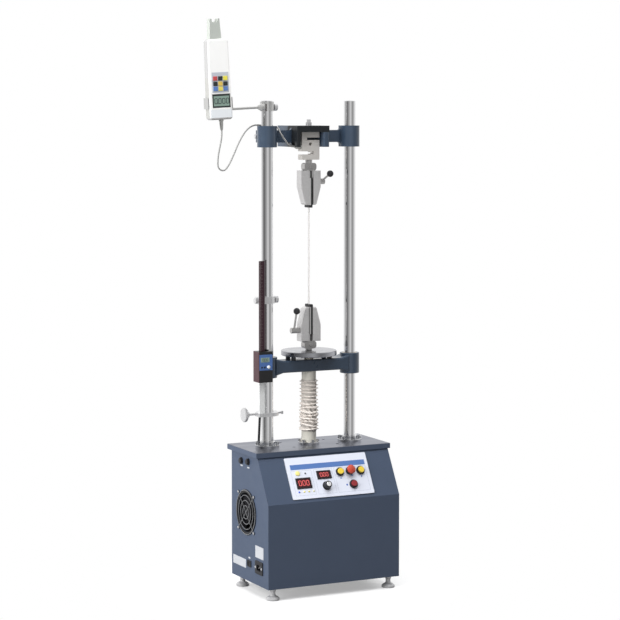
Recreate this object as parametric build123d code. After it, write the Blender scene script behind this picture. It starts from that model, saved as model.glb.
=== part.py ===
from build123d import *
import math
import os

# Two-column universal testing machine in millimetres. The origin is on the floor, midway between the
# columns. +X is to the operator's right, -Y faces the operator and +Z is up.
LOW, MID, HIGH = Align.MIN, Align.CENTER, Align.MAX

# Clearances
running_gap = 0.05        # radial, shaft in bush
slide_gap = 0.3           # between parts that slide past each other
panel_gap = 0.3           # sheet metal fit
far = 999.0               # reach of a cut that goes right through

# Cabinet
foot_height = 34.0
foot_radius = 19.0
foot_neck_radius = 7.0
foot_stem_radius = 5.0
foot_nut_radius = 9.8
foot_nut_height = 8.0
foot_side_inset = 24.0     # middle of a foot from the cabinet's side
foot_end_inset = 22.0      # and from its front or back
cabinet_width = 418.0
cabinet_front = -167.0
cabinet_back = 82.0
cabinet_height = 364.0
front_wall_height = 240.0     # upright part of the front, below the sloping panel
panel_slope = 30.0            # degrees back from upright
sheet = 2.0
pan_sheet = 3.0
pan_flange = 18.0
back_frame = 15.0          # width of the frame that the rear cover lies on
slot_length = 70.0         # cooling slots in the rear cover
slot_height = 5.0
slot_step = (85.0, 18.0)
slot_rise = 60.0           # lower row above the cabinet's bottom
slot_count = (4, 2)

# Top plate
plate_overhang = 6.0       # past each side of the cabinet
plate_front = -100.0
plate_back = 100.0
plate_thickness = 15.0
screw_passage_radius = 23.0
fixture_hole_radius = 4.25
fixture_hole_x = 70.0
fixture_hole_y = 45.0

# Columns
column_pitch = 266.0
column_radius = 17.5
column_height = 995.0
spigot_radius = 12.0
flange_radius = 35.0
flange_thickness = 6.0
flange_hub_radius = 23.0
flange_hub_height = 15.0
flange_screw_count = 6
flange_screw_circle = 29.0
flange_screw_radius = 5.5
flange_screw_height = 9.0

# Upper beam, measured from the tops of the columns
beam_drop = 72.0           # its top
beam_height = 61.0
boss_radius = 28.5
neck_height = 35.0
neck_front = 6.0
neck_depth = 38.0
neck_corner = 7.0
web_depth = 10.0
core_half_width = 52.0
core_front = -32.0
core_back = 100.0
cheek_thickness = 20.0
carrier_wall = 12.0
carrier_roof = 18.0
ear_width = 24.0
ear_height = 35.0
ear_back = 50.0
carrier_back = 32.0        # the carrier and its pocket end here
clamp_screw_y = 40.0
split_width = 3.0
clamp_screw_radius = 4.0
clamp_head_radius = 6.5
clamp_head_height = 8.0
hanger_stud_radius = 6.0   # stud and nut that hold the load cell
hanger_stud_rise = 18.0
hanger_nut_radius = 9.5
hanger_nut_height = 10.0

# Load cell and its fittings
cell_width = 56.0
cell_depth = 26.0
cell_height = 80.0
cell_slot_height = 7.0
cell_slot_length = 40.0
cell_slot_inset = 19.6      # slot middle from the nearer end
cell_lower_slot_height = 9.5
cell_lower_slot_length = 31.0
cell_hole_radius = 4.5
adapter_nut_radius = 10.0
adapter_nut_height = 9.0
lower_nut_height = 5.0
clevis_width = 38.0
clevis_depth = 24.0
clevis_height = 22.0
pin_radius = 5.0
gland_length = 20.0
gland_radius = 8.0
gland_y = -5.0
gland_rise = 38.0          # above the bottom of the load cell
relief_length = 30.0
relief_x = 5.0             # right of the gauge's middle

# Grips
grip_width = 63.0
grip_depth = 32.0
grip_height = 99.0
grip_straight = 48.0
grip_tip_width = 37.0
jaw_thickness = 4.2
fixed_jaw_thickness = 5.6
jaw_length = 86.0
jaw_stand_out = 8.0
jaw_mouth = 0.8            # left open for the specimen between closed jaws
jaw_travel = 2.5
jaw_spare = 0.4
jaw_tip = -grip_height - jaw_stand_out     # grips are drawn hanging from z = 0
lever_drop = 32.0          # lever axis from the clevis end of the grip
lever_hub_radius = 8.5
upper_hub_length = 18.0
lower_hub_length = 26.0
lever_root = 10.0          # arm's place, from the outer end of the hub
lever_screw_radius = 4.0
lever_arm_radius = 3.0
ball_radius = 9.75
ball_side = 50.0           # from the middle of the grip
upper_ball_reach = (-38.0, 23.0)     # forward and up from the hub
lower_ball_reach = (-23.0, 58.0)

# Crosshead, measured from the top plate
crosshead_rise = 200.0
crosshead_boss_height = 60.0
arm_height = 35.0
arm_bottom = 13.0          # above the bottom of the bosses
arm_half_depth = 27.0
arm_flare = 7.0
bush_wall = 3.5
platen_radius = 81.0
platen_thickness = 14.0
platen_gap = 11.0          # between the arms and the platen
spigot_ring_radius = 13.0
platen_screw_radius = 7.0
platen_screw_x = 58.0
platen_screw_y = 18.0

# Ball screw and drive
screw_radius = 10.0
screw_length = 484.0
screw_tenon_radius = 7.0
tenon_length = 26.0
nut_radius = 18.0
nut_pulley_radius = 30.0
pulley_width = 18.0
pulley_rim = 2.0
bearing_flange_radius = 50.0
bearing_radius = 38.0
bearing_depth = 52.0
motor_radius = 40.0
motor_length = 130.0
motor_offset = 112.0
motor_shaft_radius = 6.0
motor_pulley_radius = 15.0
belt_thickness = 2.0
bracket_sheet = 6.0
bracket_half_depth = 50.0

# Bellows
bellows_base_radius = 31.0
bellows_base_thickness = 6.0
bellows_collar_radius = 21.5
bellows_collar_height = 31.0
base_screw_circle = 26.5
base_screw_radius = 4.3
base_screw_height = 7.0
top_collar_radius = 21.0
top_collar_height = 25.0
bellows_outer = 27.5
bellows_inner = 20.5
bellows_wall = 1.2
bellows_folds = 10

# Travel scale and its slider
scale_width = 17.0
scale_thickness = 4.0
scale_x = -163.5
scale_y = -28.0
scale_top_rise = 539.0
slider_width = 44.0
slider_front = -45.0
slider_back = -6.0
slider_height = 88.0
slider_drop = 8.0          # below the crosshead bosses
collar_rise = 415.0
collar_height = 20.0
collar_radius = 22.0

# Lower travel stop
stop_rise = 91.0
stop_thickness = 10.0
stop_radius = 32.5
wheel_radius = 20.5
wheel_reach = 68.0         # from the column's middle to the wheel
wheel_width = 9.0
wheel_flutes = 24
stop_lead_radius = 3.5

# Force gauge on its arm
gauge_x = -291.0
gauge_y = -22.0
gauge_drop = 53.5          # its bottom, below the tops of the columns
gauge_tilt = 3.0           # degrees, top leaning away from the column
gauge_height = 226.0
gauge_wide = 70.0
gauge_narrow = 62.5
gauge_depth = 32.0
gauge_edge = 4.0
window_x = 2.0             # display window, right of the gauge's middle
window_rise = 53.0
window_width = 55.0
window_height = 39.0
key_pitch = 15.5
key_rows = (116.0, 101.0, 87.0)
gauge_key_radius = 4.6
gauge_key_height = 1.6
cap_drop = 30.0            # bottom of the collar on the left column, below the column's top
cap_height = 27.0
cap_radius = 20.0
arm_radius = 3.5
arm_y = -10.0
holder_sheet = 3.0
holder_low = 31.0          # heights on the gauge
holder_high = 62.0
strap_top = 92.0
strap_sides = (-30.0, -6.0)
arm_socket_radius = 10.0

# Control panel
panel_width = 260.0
panel_length = 125.0
panel_start = 10.0
panel_thickness = 3.0
button_travel = 3.0
cap_step = 5.0
collar_outer = 12.5
barrel_radius = 8.0
barrel_depth = 18.0
stem_radius = 4.0
stem_clearance = 0.1
button_radius = 9.0
mushroom_radius = 13.0
knob_radius = 11.0
key_radius = 7.0
lamp_radius = 2.5

# Fan in the left side
fan_y = -20.0
fan_rise = 197.0             # the side fittings' heights are above the cabinet's bottom
fan_size = 120.0
fan_depth = 25.0
fan_bore = 57.0
fan_hub_radius = 20.0
fan_tip_gap = 1.0
guard_radii = [19.0, 34.0, 49.0, 63.5]
fan_blades = 7
blade_root_pitch = 42.0    # degrees out of the fan's plane
blade_tip_pitch = 24.0
guard_wire = 1.2
guard_ring_radius = 66.0   # flat ring that the guard's wires stand on
guard_ring_thickness = 1.5

# Mains inlet, rocker switch and signal sockets in the left side
inlet_y = -107.0
inlet_rise = 52.0
inlet_flange = (50.0, 38.0)
inlet_flange_thickness = 3.0
inlet_body = (30.0, 24.0)
inlet_depth = 24.0
inlet_mouth = (24.0, 17.0)
inlet_mouth_depth = 14.0
switch_y = -40.0
switch_rise = 52.0
switch_bezel = (26.0, 19.0)
switch_mouth = (20.8, 12.8)
switch_depth = 18.0
switch_pin_radius = 1.2
rocker_half_length = 8.4
rocker_tilt = 11.0
rocker_floor = -7.0
rocker_pivot = -2.0
socket_radius = 8.0
socket_flange = 2.0
socket_depth = 15.0
socket_places = [(13.0, 22.0), (-33.0, 19.0)]     # y, and drop below the cabinet's top

# Worked out from the sizes above
fan_z = foot_height + fan_rise
inlet_z = foot_height + inlet_rise
switch_z = foot_height + switch_rise
kink_z = foot_height + front_wall_height
cabinet_top = foot_height + cabinet_height
plate_top = cabinet_top + plate_thickness
plate_width = cabinet_width + 2 * plate_overhang
column_x = column_pitch / 2
side_x = cabinet_width / 2
foot_x = side_x - foot_side_inset
foot_places = [
    (x, y) for x in (-foot_x, foot_x) for y in (cabinet_front + foot_end_inset, cabinet_back - foot_end_inset)
]
slope = math.radians(panel_slope)
fan_inner_x = -side_x + sheet
column_top = plate_top + column_height
beam_top = column_top - beam_drop
beam_bottom = beam_top - beam_height
beam_middle = beam_bottom + beam_height / 2
crosshead_bottom = plate_top + crosshead_rise
crosshead_top = crosshead_bottom + crosshead_boss_height
arm_z = crosshead_bottom + arm_bottom
arm_top = arm_z + arm_height
platen_bottom = arm_top + platen_gap
platen_top = platen_bottom + platen_thickness
scale_top = plate_top + scale_top_rise
stop_bottom = plate_top + stop_rise
stop_top = stop_bottom + stop_thickness
lead_top = (-148.0, 19.0, stop_bottom)
lead_foot = (-141.0, 42.5, plate_top + 5.0)
collar_bottom = plate_top + collar_rise
cap_bottom = column_top - cap_drop
slider_bottom = crosshead_bottom - slider_drop
pulley_z = cabinet_top - bearing_depth - 4 - pulley_width
bracket_top = pulley_z - 4
bellows_low = plate_top + bellows_base_thickness + bellows_collar_height
bellows_high = arm_z - top_collar_height
cell_top = beam_top - carrier_roof
cell_bottom = cell_top - cell_height
gland_z = cell_bottom + gland_rise
upper_grip_top = cell_bottom - adapter_nut_height - clevis_height
lower_grip_bottom = platen_top + lower_nut_height + clevis_height
gauge_bottom = column_top - gauge_drop
gauge_place = Location((gauge_x, gauge_y, gauge_bottom), (0, -gauge_tilt, 0))
panel_plane = Plane(
    origin=(0, cabinet_front, kink_z),
    x_dir=(1, 0, 0),
    z_dir=(0, -math.cos(slope), math.sin(slope)),
)


def block(x0, x1, y0, y1, z0, z1):
    return Pos((x0 + x1) / 2, (y0 + y1) / 2, (z0 + z1) / 2) * Box(x1 - x0, y1 - y0, z1 - z0)


def post(radius, height, x=0.0, y=0.0, z=0.0):
    return Pos(x, y, z) * Cylinder(radius, height, align=(MID, MID, LOW))


def rod(radius, length, start, direction):
    return Plane(origin=start, z_dir=direction) * Cylinder(radius, length, align=(MID, MID, LOW))


def turned(outline):
    return revolve(Plane.XZ * make_face(Polyline(*outline, close=True)), Axis.Z)


def ring(outer, inner, height, x=0.0, y=0.0, z=0.0):
    return post(outer, height, x, y, z) - post(inner, height + 2, x, y, z - 1)


def prism_x(outline, x0, x1):
    """Outline given as (Y, Z), drawn from x0 to x1."""
    return Pos(x0, 0, 0) * extrude(Plane.YZ * make_face(Polyline(*outline, close=True)), amount=x1 - x0)


def write(node, *shapes):
    solids = [solid for shape in shapes for solid in shape.solids()]
    export_step(solids[0] if len(solids) == 1 else Compound(solids), f"parts/{node}.step")


def cabinet_outline(low, high):
    """Side view of the cabinet between two heights: upright front, then the sloping panel."""
    lean = (high - kink_z) * math.tan(slope)
    return [
        (cabinet_front, low),
        (cabinet_front, kink_z),
        (cabinet_front + lean, high),
        (cabinet_back, high),
        (cabinet_back, low),
    ]


def cabinet_shell():
    """Folded sheet wrapper, open at the top and bottom, with a turned-in frame behind the rear cover."""
    outer = prism_x(cabinet_outline(foot_height, cabinet_top), -side_x, side_x)
    inside = make_face(Polyline(*cabinet_outline(foot_height - 50, cabinet_top + 50), close=True))
    inside = offset(inside, -sheet, kind=Kind.INTERSECTION)
    inner = Pos(-side_x + sheet, 0, 0) * extrude(Plane.YZ * inside, amount=cabinet_width - 2 * sheet)
    inner -= block(
        -side_x, side_x, cabinet_back - 2 * sheet, cabinet_back, foot_height - far, cabinet_top + far
    )
    shell = outer - inner
    shell -= block(
        -side_x + sheet, side_x - sheet, cabinet_back - sheet, cabinet_back + 1,
        foot_height - 1, cabinet_top + 1,
    )
    half = side_x - sheet - back_frame
    shell -= block(
        -half, half, cabinet_back - 3 * sheet, cabinet_back + 1,
        foot_height + pan_flange + 2, cabinet_top - back_frame,
    )
    reach = panel_length - 12
    panel_hole = Pos(0, panel_start + panel_length / 2, -sheet / 2) * Box(panel_width - 20, reach, 3 * sheet)
    shell -= panel_plane * panel_hole
    shell -= rod(fan_bore, 4 * sheet, (-side_x - sheet, fan_y, fan_z), (1, 0, 0))
    shell -= side_hole(inlet_body, inlet_y, inlet_z)
    shell -= side_hole((switch_mouth[0] + 3, switch_mouth[1] + 3), switch_y, switch_z)
    for y, drop in socket_places:
        shell -= rod(socket_radius - 1, 4 * sheet, (-side_x - sheet, y, cabinet_top - drop), (1, 0, 0))
    return shell


def side_hole(size, y, z):
    return Pos(-side_x, y, z) * Box(4 * sheet, size[0] + panel_gap, size[1] + panel_gap)


def rear_cover():
    """Flat cover in the open back, with two rows of cooling slots low down."""
    half = side_x - sheet - panel_gap
    cover = block(-half, half, cabinet_back - sheet, cabinet_back, foot_height, cabinet_top - panel_gap)
    slot = extrude(Plane.XZ * SlotOverall(slot_length, slot_height), amount=3 * sheet, both=True)
    middle = foot_height + slot_rise + slot_step[1] / 2
    for place in GridLocations(*slot_step, *slot_count):
        cover -= Pos(place.position.X, cabinet_back, middle + place.position.Y) * slot
    return cover


def base_pan():
    """Tray that closes the bottom, turned up at the front and sides."""
    half = side_x - sheet - panel_gap
    front = cabinet_front + sheet + panel_gap
    back = cabinet_back - 2 * sheet - panel_gap
    tray = block(-half, half, front, back, foot_height, foot_height + pan_flange)
    tray -= block(
        -half + pan_sheet, half - pan_sheet, front + pan_sheet, back + 1,
        foot_height + pan_sheet, foot_height + far,
    )
    for x, y in foot_places:
        tray -= post(foot_stem_radius + panel_gap, 3 * pan_sheet, x, y, foot_height - pan_sheet)
    return tray


def levelling_feet():
    """Turned foot with a stem through the tray, and a nut above and below the tray."""
    pieces = []
    wide, neck, stem = foot_radius, foot_neck_radius, foot_stem_radius
    under_nut = foot_height - foot_nut_height - 2
    stem_top = foot_height + pan_sheet + foot_nut_height + 9
    foot = turned([
        (0, 0), (wide - 1, 0), (wide, 2), (wide, 6), (wide - 4, 10), (neck + 2, 13), (neck, 17),
        (neck, under_nut),
        (stem, under_nut), (stem, stem_top), (0, stem_top),
    ])
    nut = extrude(RegularPolygon(foot_nut_radius, 6), amount=foot_nut_height)
    nut -= post(stem + running_gap, 3 * foot_nut_height, z=-2)
    for x, y in foot_places:
        pieces.append(Pos(x, y, 0) * foot)
        pieces.append(Pos(x, y, foot_height - foot_nut_height) * nut)
        pieces.append(Pos(x, y, foot_height + pan_sheet) * nut)
    return pieces


def top_plate():
    plate = block(-plate_width / 2, plate_width / 2, plate_front, plate_back, cabinet_top, plate_top)
    plate = chamfer(plate.edges().group_by(Axis.Z)[-1], 1)
    for side in (-1, 1):
        plate -= post(spigot_radius + running_gap, far, side * column_x, 0, cabinet_top - 20)
        for y in (-fixture_hole_y, fixture_hole_y):
            plate -= post(fixture_hole_radius, far, side * fixture_hole_x, y, cabinet_top - 20)
    return plate - post(screw_passage_radius, far, z=cabinet_top - 20)


def columns():
    bar = post(column_radius, column_height, z=plate_top)
    bar = chamfer(bar.edges().group_by(Axis.Z)[-1], 1.5)
    bar += post(spigot_radius, plate_thickness, z=cabinet_top)
    return [Pos(side * column_x, 0, 0) * bar for side in (-1, 1)]


def column_flanges():
    """Clamp flange at the foot of each column with its ring of cap screws."""
    flange = post(flange_radius, flange_thickness, z=plate_top)
    flange = chamfer(flange.edges().group_by(Axis.Z)[-1], 1)
    flange += post(flange_hub_radius, flange_hub_height, z=plate_top)
    flange -= post(column_radius + running_gap, far, z=plate_top - 1)
    screws = screw_ring(
        flange_screw_radius, flange_screw_height, flange_screw_circle, plate_top + flange_thickness
    )
    return [Pos(side * column_x, 0, 0) * piece for side in (-1, 1) for piece in [flange, *screws]]


def screw_ring(radius, height, circle, z):
    """Socket head cap screws standing round the Z axis."""
    screw = post(radius, height, z=z)
    screw -= Pos(0, 0, z + height * 0.4) * extrude(RegularPolygon(radius * 0.53, 6), amount=height)
    return [Rot(0, 0, 30) * place * screw for place in PolarLocations(circle, flange_screw_count)]


def upper_beam():
    """Cast beam: two split bosses, necks set back, and a deep core with a pocket for the load cell."""
    beam = block(-core_half_width, core_half_width, carrier_back, core_back, beam_bottom, beam_top)
    beam += block(
        core_half_width - cheek_thickness, core_half_width, core_front, carrier_back + 1,
        beam_bottom, beam_top - carrier_roof,
    )
    front_corners = beam.edges().filter_by(Axis.Z).group_by(Axis.Y)[0]
    beam = fillet(front_corners, 6)
    for side in (-1, 1):
        beam += post(boss_radius, beam_height, side * column_x, 0, beam_bottom)
        beam += beam_neck(side)
        beam += block(
            side * column_x - ear_width / 2, side * column_x + ear_width / 2, 10, ear_back,
            beam_middle - ear_height / 2, beam_middle + ear_height / 2,
        )
    for side in (-1, 1):
        x = side * column_x
        beam -= post(column_radius + running_gap, far, x, 0, beam_bottom - 5)
        half_split = split_width / 2
        beam -= block(x - half_split, x + half_split, 5, ear_back + 1, beam_bottom - 1, beam_top + 1)
        beam -= rod(
            clamp_screw_radius + running_gap, ear_width + 5,
            (x + side * ear_width / 2, clamp_screw_y, beam_middle),
            (-side, 0, 0),
        )
    return beam


def beam_neck(side):
    """Link between a boss and the core, lower than both, with rounded corners above and below it."""
    low = beam_middle - neck_height / 2
    neck = block(carrier_wall, column_x, neck_front, neck_front + neck_depth, low, low + neck_height)
    end = column_x - boss_radius
    web = block(core_half_width, end + 2, neck_front, neck_front + web_depth, beam_bottom, beam_top)
    span = end - core_half_width
    cutter = RectangleRounded(span, beam_height - neck_height, neck_corner)
    for z in (beam_bottom, beam_top):
        web -= Pos(core_half_width + span / 2, 0, z) * extrude(Plane.XZ * cutter, amount=far, both=True)
    neck += web
    neck -= block(0, core_half_width, -far, carrier_back, 0, beam_top + 1)
    return neck if side > 0 else mirror(neck, Plane.YZ)


def cell_carrier():
    """Angle under the beam that carries the load cell: a roof and a left wall notched for the gland."""
    carrier = block(
        -core_half_width, core_half_width, core_front, carrier_back, beam_top - carrier_roof, beam_top
    )
    carrier += block(
        -core_half_width, -core_half_width + carrier_wall, core_front, carrier_back, beam_bottom, beam_top
    )
    carrier = fillet(carrier.edges().filter_by(Axis.Z).group_by(Axis.Y)[0], 3)
    notch = Box(far, 2 * gland_radius + 4, 2 * (gland_radius + 6))
    notch = Pos(-core_half_width, gland_y, beam_bottom) * notch
    carrier -= notch & block(-far, -core_half_width + carrier_wall + 1, -far, far, 0, beam_top)
    return carrier - post(hanger_stud_radius + running_gap, far, z=cell_top - 10)


def beam_fixings():
    """Clamp screws through the split ears, and the nut and stud that hold the load cell."""
    screw = rod(clamp_screw_radius, ear_width, (-ear_width / 2, clamp_screw_y, beam_middle), (1, 0, 0))
    head_at = -ear_width / 2 - clamp_head_height
    screw += rod(clamp_head_radius, clamp_head_height, (head_at, clamp_screw_y, beam_middle), (1, 0, 0))
    screw = Pos(-column_x, 0, 0) * screw
    pieces = [screw, mirror(screw, Plane.YZ)]
    stud = post(hanger_stud_radius, carrier_roof + hanger_stud_rise, z=cell_top)
    nut = extrude(RegularPolygon(hanger_nut_radius, 6), amount=hanger_nut_height)
    nut -= post(hanger_stud_radius + running_gap, 3 * hanger_nut_height, z=-5)
    pieces.append(stud)
    pieces.append(Pos(0, 0, beam_top) * nut)
    return pieces


def load_cell():
    """S-shaped cell: slots cut from opposite sides and two cross holes that free the bending web."""
    cell = block(-cell_width / 2, cell_width / 2, -cell_depth / 2, cell_depth / 2, cell_bottom, cell_top)
    cell = fillet(cell.edges().filter_by(Axis.Y), 1.5)
    upper, lower = cell_top - cell_slot_inset, cell_bottom + cell_slot_inset
    half, lower_half = cell_slot_height / 2, cell_lower_slot_height / 2
    cell -= block(cell_width / 2 - cell_slot_length, far, -far, far, upper - half, upper + half)
    cell -= block(
        -far, -cell_width / 2 + cell_lower_slot_length, -far, far, lower - lower_half, lower + lower_half
    )
    for x, z in ((-1, upper - 15), (7, lower)):
        cell -= rod(cell_hole_radius, far, (x, -50, z), (0, 1, 0))
    return cell


def cable_glands():
    """Gland in the side of the load cell, and the tapered relief under the gauge."""
    back = -cell_width / 2
    hex_part = extrude(RegularPolygon(8, 6), amount=6)
    hex_part = Plane(origin=(back, gland_y, gland_z), z_dir=(-1, 0, 0)) * hex_part
    dome = Plane(origin=(back - 6, gland_y, gland_z), z_dir=(-1, 0, 0)) * turned([
        (0, 0), (7, 0), (7, 8), (5, 12), (3.2, gland_length - 6), (0, gland_length - 6),
    ])
    relief = gauge_place * Pos(relief_x, 0, 0) * turned([
        (0, 0), (7, 0), (7, -4), (5.5, -6), (5.5, -12), (4.6, -22),
        (3.4, -relief_length), (0, -relief_length),
    ])
    return [hex_part + dome, relief]


def adapter(start_z, nut_height, turn):
    """Nut and clevis block with its cross pin, standing on a face or hanging from it."""
    nut = post(adapter_nut_radius, nut_height)
    nut = chamfer(nut.edges().group_by(Axis.Z)[0], 1.5)
    pin_at = nut_height + clevis_height / 2
    clevis = Plane.XZ * RectangleRounded(clevis_width, clevis_height, 8)
    clevis = extrude(clevis, amount=clevis_depth / 2, both=True)
    body = nut + Pos(0, 0, pin_at) * clevis - rod(pin_radius, far, (0, -50, pin_at), (0, 1, 0))
    pin_half = clevis_depth / 2 + 3
    pin = rod(pin_radius, 2 * pin_half, (0, -pin_half, pin_at), (0, 1, 0))
    pin = chamfer(pin.edges(), 0.8)
    return [Pos(0, 0, start_z) * Rot(turn, 0, 0) * piece for piece in (body, pin)]


def grip_local():
    """Grip drawn hanging from z = 0: a shield-shaped body, its slot, and the fixed jaw."""
    half, tip = grip_width / 2, grip_tip_width / 2
    outline = [
        (-half, 0), (half, 0), (half, -grip_straight), (tip, -grip_height + 4), (tip - 4, -grip_height),
        (-tip + 4, -grip_height), (-tip, -grip_height + 4), (-half, -grip_straight),
    ]
    body = extrude(Plane.XZ * make_face(Polyline(*outline, close=True)), amount=grip_depth / 2, both=True)
    body = chamfer(body.faces().sort_by(Axis.Y)[0].edges() + body.faces().sort_by(Axis.Y)[-1].edges(), 1.5)
    left = -jaw_mouth / 2 - fixed_jaw_thickness
    right = jaw_mouth / 2 + jaw_thickness + jaw_travel + jaw_spare
    slot_top = -grip_height - jaw_stand_out + jaw_length + slide_gap
    body -= block(left, right, -far, far, -grip_height - 9, slot_top)
    body -= block(left, right, -far, -grip_depth / 2 + 7, slot_top - 1, 1)
    body -= rod(lever_screw_radius + running_gap, far, (right - 1, 0, -lever_drop), (1, 0, 0))
    half_depth = grip_depth / 2 - 0.5
    jaw = block(left, -jaw_mouth / 2, -half_depth, half_depth, jaw_tip, jaw_tip + jaw_length)
    return [body, chamfer_jaw(jaw)]


def chamfer_jaw(jaw):
    return chamfer(jaw.faces().sort_by(Axis.Z)[0].edges().filter_by(Axis.Y), 1)


def moving_jaw_local():
    """Jaw plate that the lever screw draws back, with a blind bore for the screw's end."""
    back = jaw_mouth / 2 + jaw_thickness
    jaw = block(
        jaw_mouth / 2, back, -grip_depth / 2 + 0.5, grip_depth / 2 - 0.5, jaw_tip, jaw_tip + jaw_length
    )
    jaw = chamfer_jaw(jaw)
    return jaw - rod(lever_screw_radius + 0.15, far, (back - jaw_thickness + 1, 0, -lever_drop), (1, 0, 0))


def lever_local(hub_length, reach):
    """Screw, hub and bent arm with a ball, on an axis along X at the side of the grip."""
    side = grip_width / 2 + slide_gap
    back = jaw_mouth / 2 + jaw_thickness
    lever = rod(lever_screw_radius, side - back + 0.6, (back - 0.6, 0, -lever_drop), (1, 0, 0))
    hub = rod(lever_hub_radius, hub_length, (side, 0, -lever_drop), (1, 0, 0))
    hub = chamfer(hub.edges(), 1)
    lever += hub
    root = Vector(side + hub_length - lever_root, 0, -lever_drop)
    ball_at = Vector(ball_side, reach[0], reach[1] - lever_drop)
    along = ball_at - root
    lever += rod(lever_arm_radius, along.length - ball_radius + 1, tuple(root), tuple(along))
    ball = Pos(*tuple(ball_at)) * Sphere(ball_radius)
    return [lever - ball, ball]


def place_upper(pieces):
    return [Pos(0, 0, upper_grip_top) * piece for piece in pieces]


def place_lower(pieces):
    """The lower grip is the upper one turned over, with its lever to the left."""
    return [Pos(0, 0, lower_grip_bottom) * Rot(0, 180, 0) * piece for piece in pieces]


def crosshead():
    """Cast crosshead: two bosses on the columns and the arms that flare out to meet them."""
    end = column_x - boss_radius + 12
    start_flare = column_x - boss_radius - 12
    top, bottom = arm_top, arm_z
    outline = [
        (-end, bottom - arm_flare), (-start_flare, bottom), (start_flare, bottom), (end, bottom - arm_flare),
        (end, top + arm_flare), (start_flare, top), (-start_flare, top), (-end, top + arm_flare),
    ]
    arms = extrude(Plane.XZ * make_face(Polyline(*outline, close=True)), amount=arm_half_depth, both=True)
    long_edges = [
        edge
        for edge in arms.edges()
        if abs(abs(edge.center().Y) - arm_half_depth) < 0.01 and abs(edge.center().X) < end - 1
    ]
    casting = fillet(long_edges, 5)
    for side in (-1, 1):
        boss = post(boss_radius, crosshead_boss_height, side * column_x, 0, crosshead_bottom)
        casting += fillet(boss.edges().filter_by(GeomType.CIRCLE), 2)
    for side in (-1, 1):
        casting -= post(column_radius + bush_wall, far, side * column_x, 0, crosshead_bottom - 5)
    return casting - post(screw_tenon_radius + running_gap, tenon_length + 1, z=arm_z - 1)


def crosshead_bushes():
    bush = ring(
        column_radius + bush_wall, column_radius + running_gap, crosshead_boss_height, z=crosshead_bottom
    )
    return [Pos(side * column_x, 0, 0) * bush for side in (-1, 1)]


def platen():
    disc = post(platen_radius, platen_thickness, z=platen_bottom)
    return chamfer(disc.edges(), 1.5)


def platen_fixings():
    """Seat in the middle and four standing screws, all between the arms and the platen."""
    pieces = [post(spigot_ring_radius, platen_gap, z=arm_top)]
    for x in (-platen_screw_x, platen_screw_x):
        for y in (-platen_screw_y, platen_screw_y):
            pieces.append(post(platen_screw_radius, platen_gap, x, y, arm_top))
    return pieces


def ball_screw():
    screw = post(screw_radius, screw_length, z=arm_z - screw_length)
    screw = chamfer(screw.edges().group_by(Axis.Z)[0], 1.5)
    return screw + post(screw_tenon_radius, tenon_length, z=arm_z)


def screw_bearing():
    """Flanged housing hung under the top plate, in which the nut turns."""
    flange = post(bearing_flange_radius, 8, z=cabinet_top - 8)
    body = post(bearing_radius, bearing_depth, z=cabinet_top - bearing_depth)
    return flange + body - post(nut_radius + running_gap, far, z=cabinet_top - bearing_depth - 5)


def nut_pulley():
    """Ball nut with the belt pulley on its lower end."""
    nut = post(nut_radius, bearing_depth + pulley_width, z=pulley_z)
    nut += flanged_pulley(nut_pulley_radius)
    return nut - post(screw_radius + running_gap, far, z=pulley_z - 20)


def flanged_pulley(radius):
    """Pulley with a raised rim at each end that keeps the belt on."""
    return Pos(0, 0, pulley_z) * turned([
        (0, 0), (radius + 3, 0), (radius + 3, pulley_rim), (radius, pulley_rim),
        (radius, pulley_width - pulley_rim), (radius + 3, pulley_width - pulley_rim),
        (radius + 3, pulley_width), (0, pulley_width),
    ])


def motor_pulley():
    bore = post(motor_shaft_radius + running_gap, far, z=pulley_z - 20)
    pulley = flanged_pulley(motor_pulley_radius) - bore
    return Pos(motor_offset, 0, 0) * pulley


def drive_belt():
    """Belt round both pulleys, its inside a slide gap away from them."""
    def loop(extra):
        return make_hull([
            *Circle(nut_pulley_radius + extra).edges(),
            *(Pos(motor_offset, 0) * Circle(motor_pulley_radius + extra)).edges(),
        ])
    width = pulley_width - 2 * pulley_rim - 2 * slide_gap
    belt = extrude(loop(slide_gap + belt_thickness), amount=width) - extrude(loop(slide_gap), amount=width)
    return Pos(0, 0, pulley_z + pulley_rim + slide_gap) * belt


def drive_motor():
    """Gear motor under its bracket, and the bracket hung from the top plate."""
    x0, x1 = motor_offset - bracket_half_depth, motor_offset + bracket_half_depth
    bracket = block(x0, x1, -bracket_half_depth, bracket_half_depth, bracket_top - bracket_sheet, bracket_top)
    for side in (-1, 1):
        outer = side * bracket_half_depth
        inner = outer - side * bracket_sheet
        y0, y1 = min(outer, inner), max(outer, inner)
        bracket += block(x0, x1, y0, y1, bracket_top - bracket_sheet, cabinet_top)
    bracket -= post(12, far, motor_offset, 0, bracket_top - 50)
    motor_top = bracket_top - bracket_sheet
    motor = post(motor_radius, motor_length, motor_offset, 0, motor_top - motor_length)
    motor = fillet(motor.edges().group_by(Axis.Z)[0], 4)
    shaft_top = pulley_z + pulley_width
    motor += post(motor_shaft_radius, shaft_top - motor_top, motor_offset, 0, motor_top)
    return [bracket, motor]


def bellows_base():
    """Base ring with its cap screws, and the collar that the bellows is tied to."""
    height = bellows_base_thickness + bellows_collar_height
    base = turned([
        (screw_radius + 3, 0), (bellows_base_radius, 0), (bellows_base_radius, bellows_base_thickness - 1),
        (bellows_base_radius - 1, bellows_base_thickness), (bellows_collar_radius, bellows_base_thickness),
        (bellows_collar_radius, height - 1), (bellows_collar_radius - 1, height), (screw_radius + 3, height),
    ])
    screws = screw_ring(
        base_screw_radius, base_screw_height, base_screw_circle, plate_top + bellows_base_thickness
    )
    return [Pos(0, 0, plate_top) * base, *screws]


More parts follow.
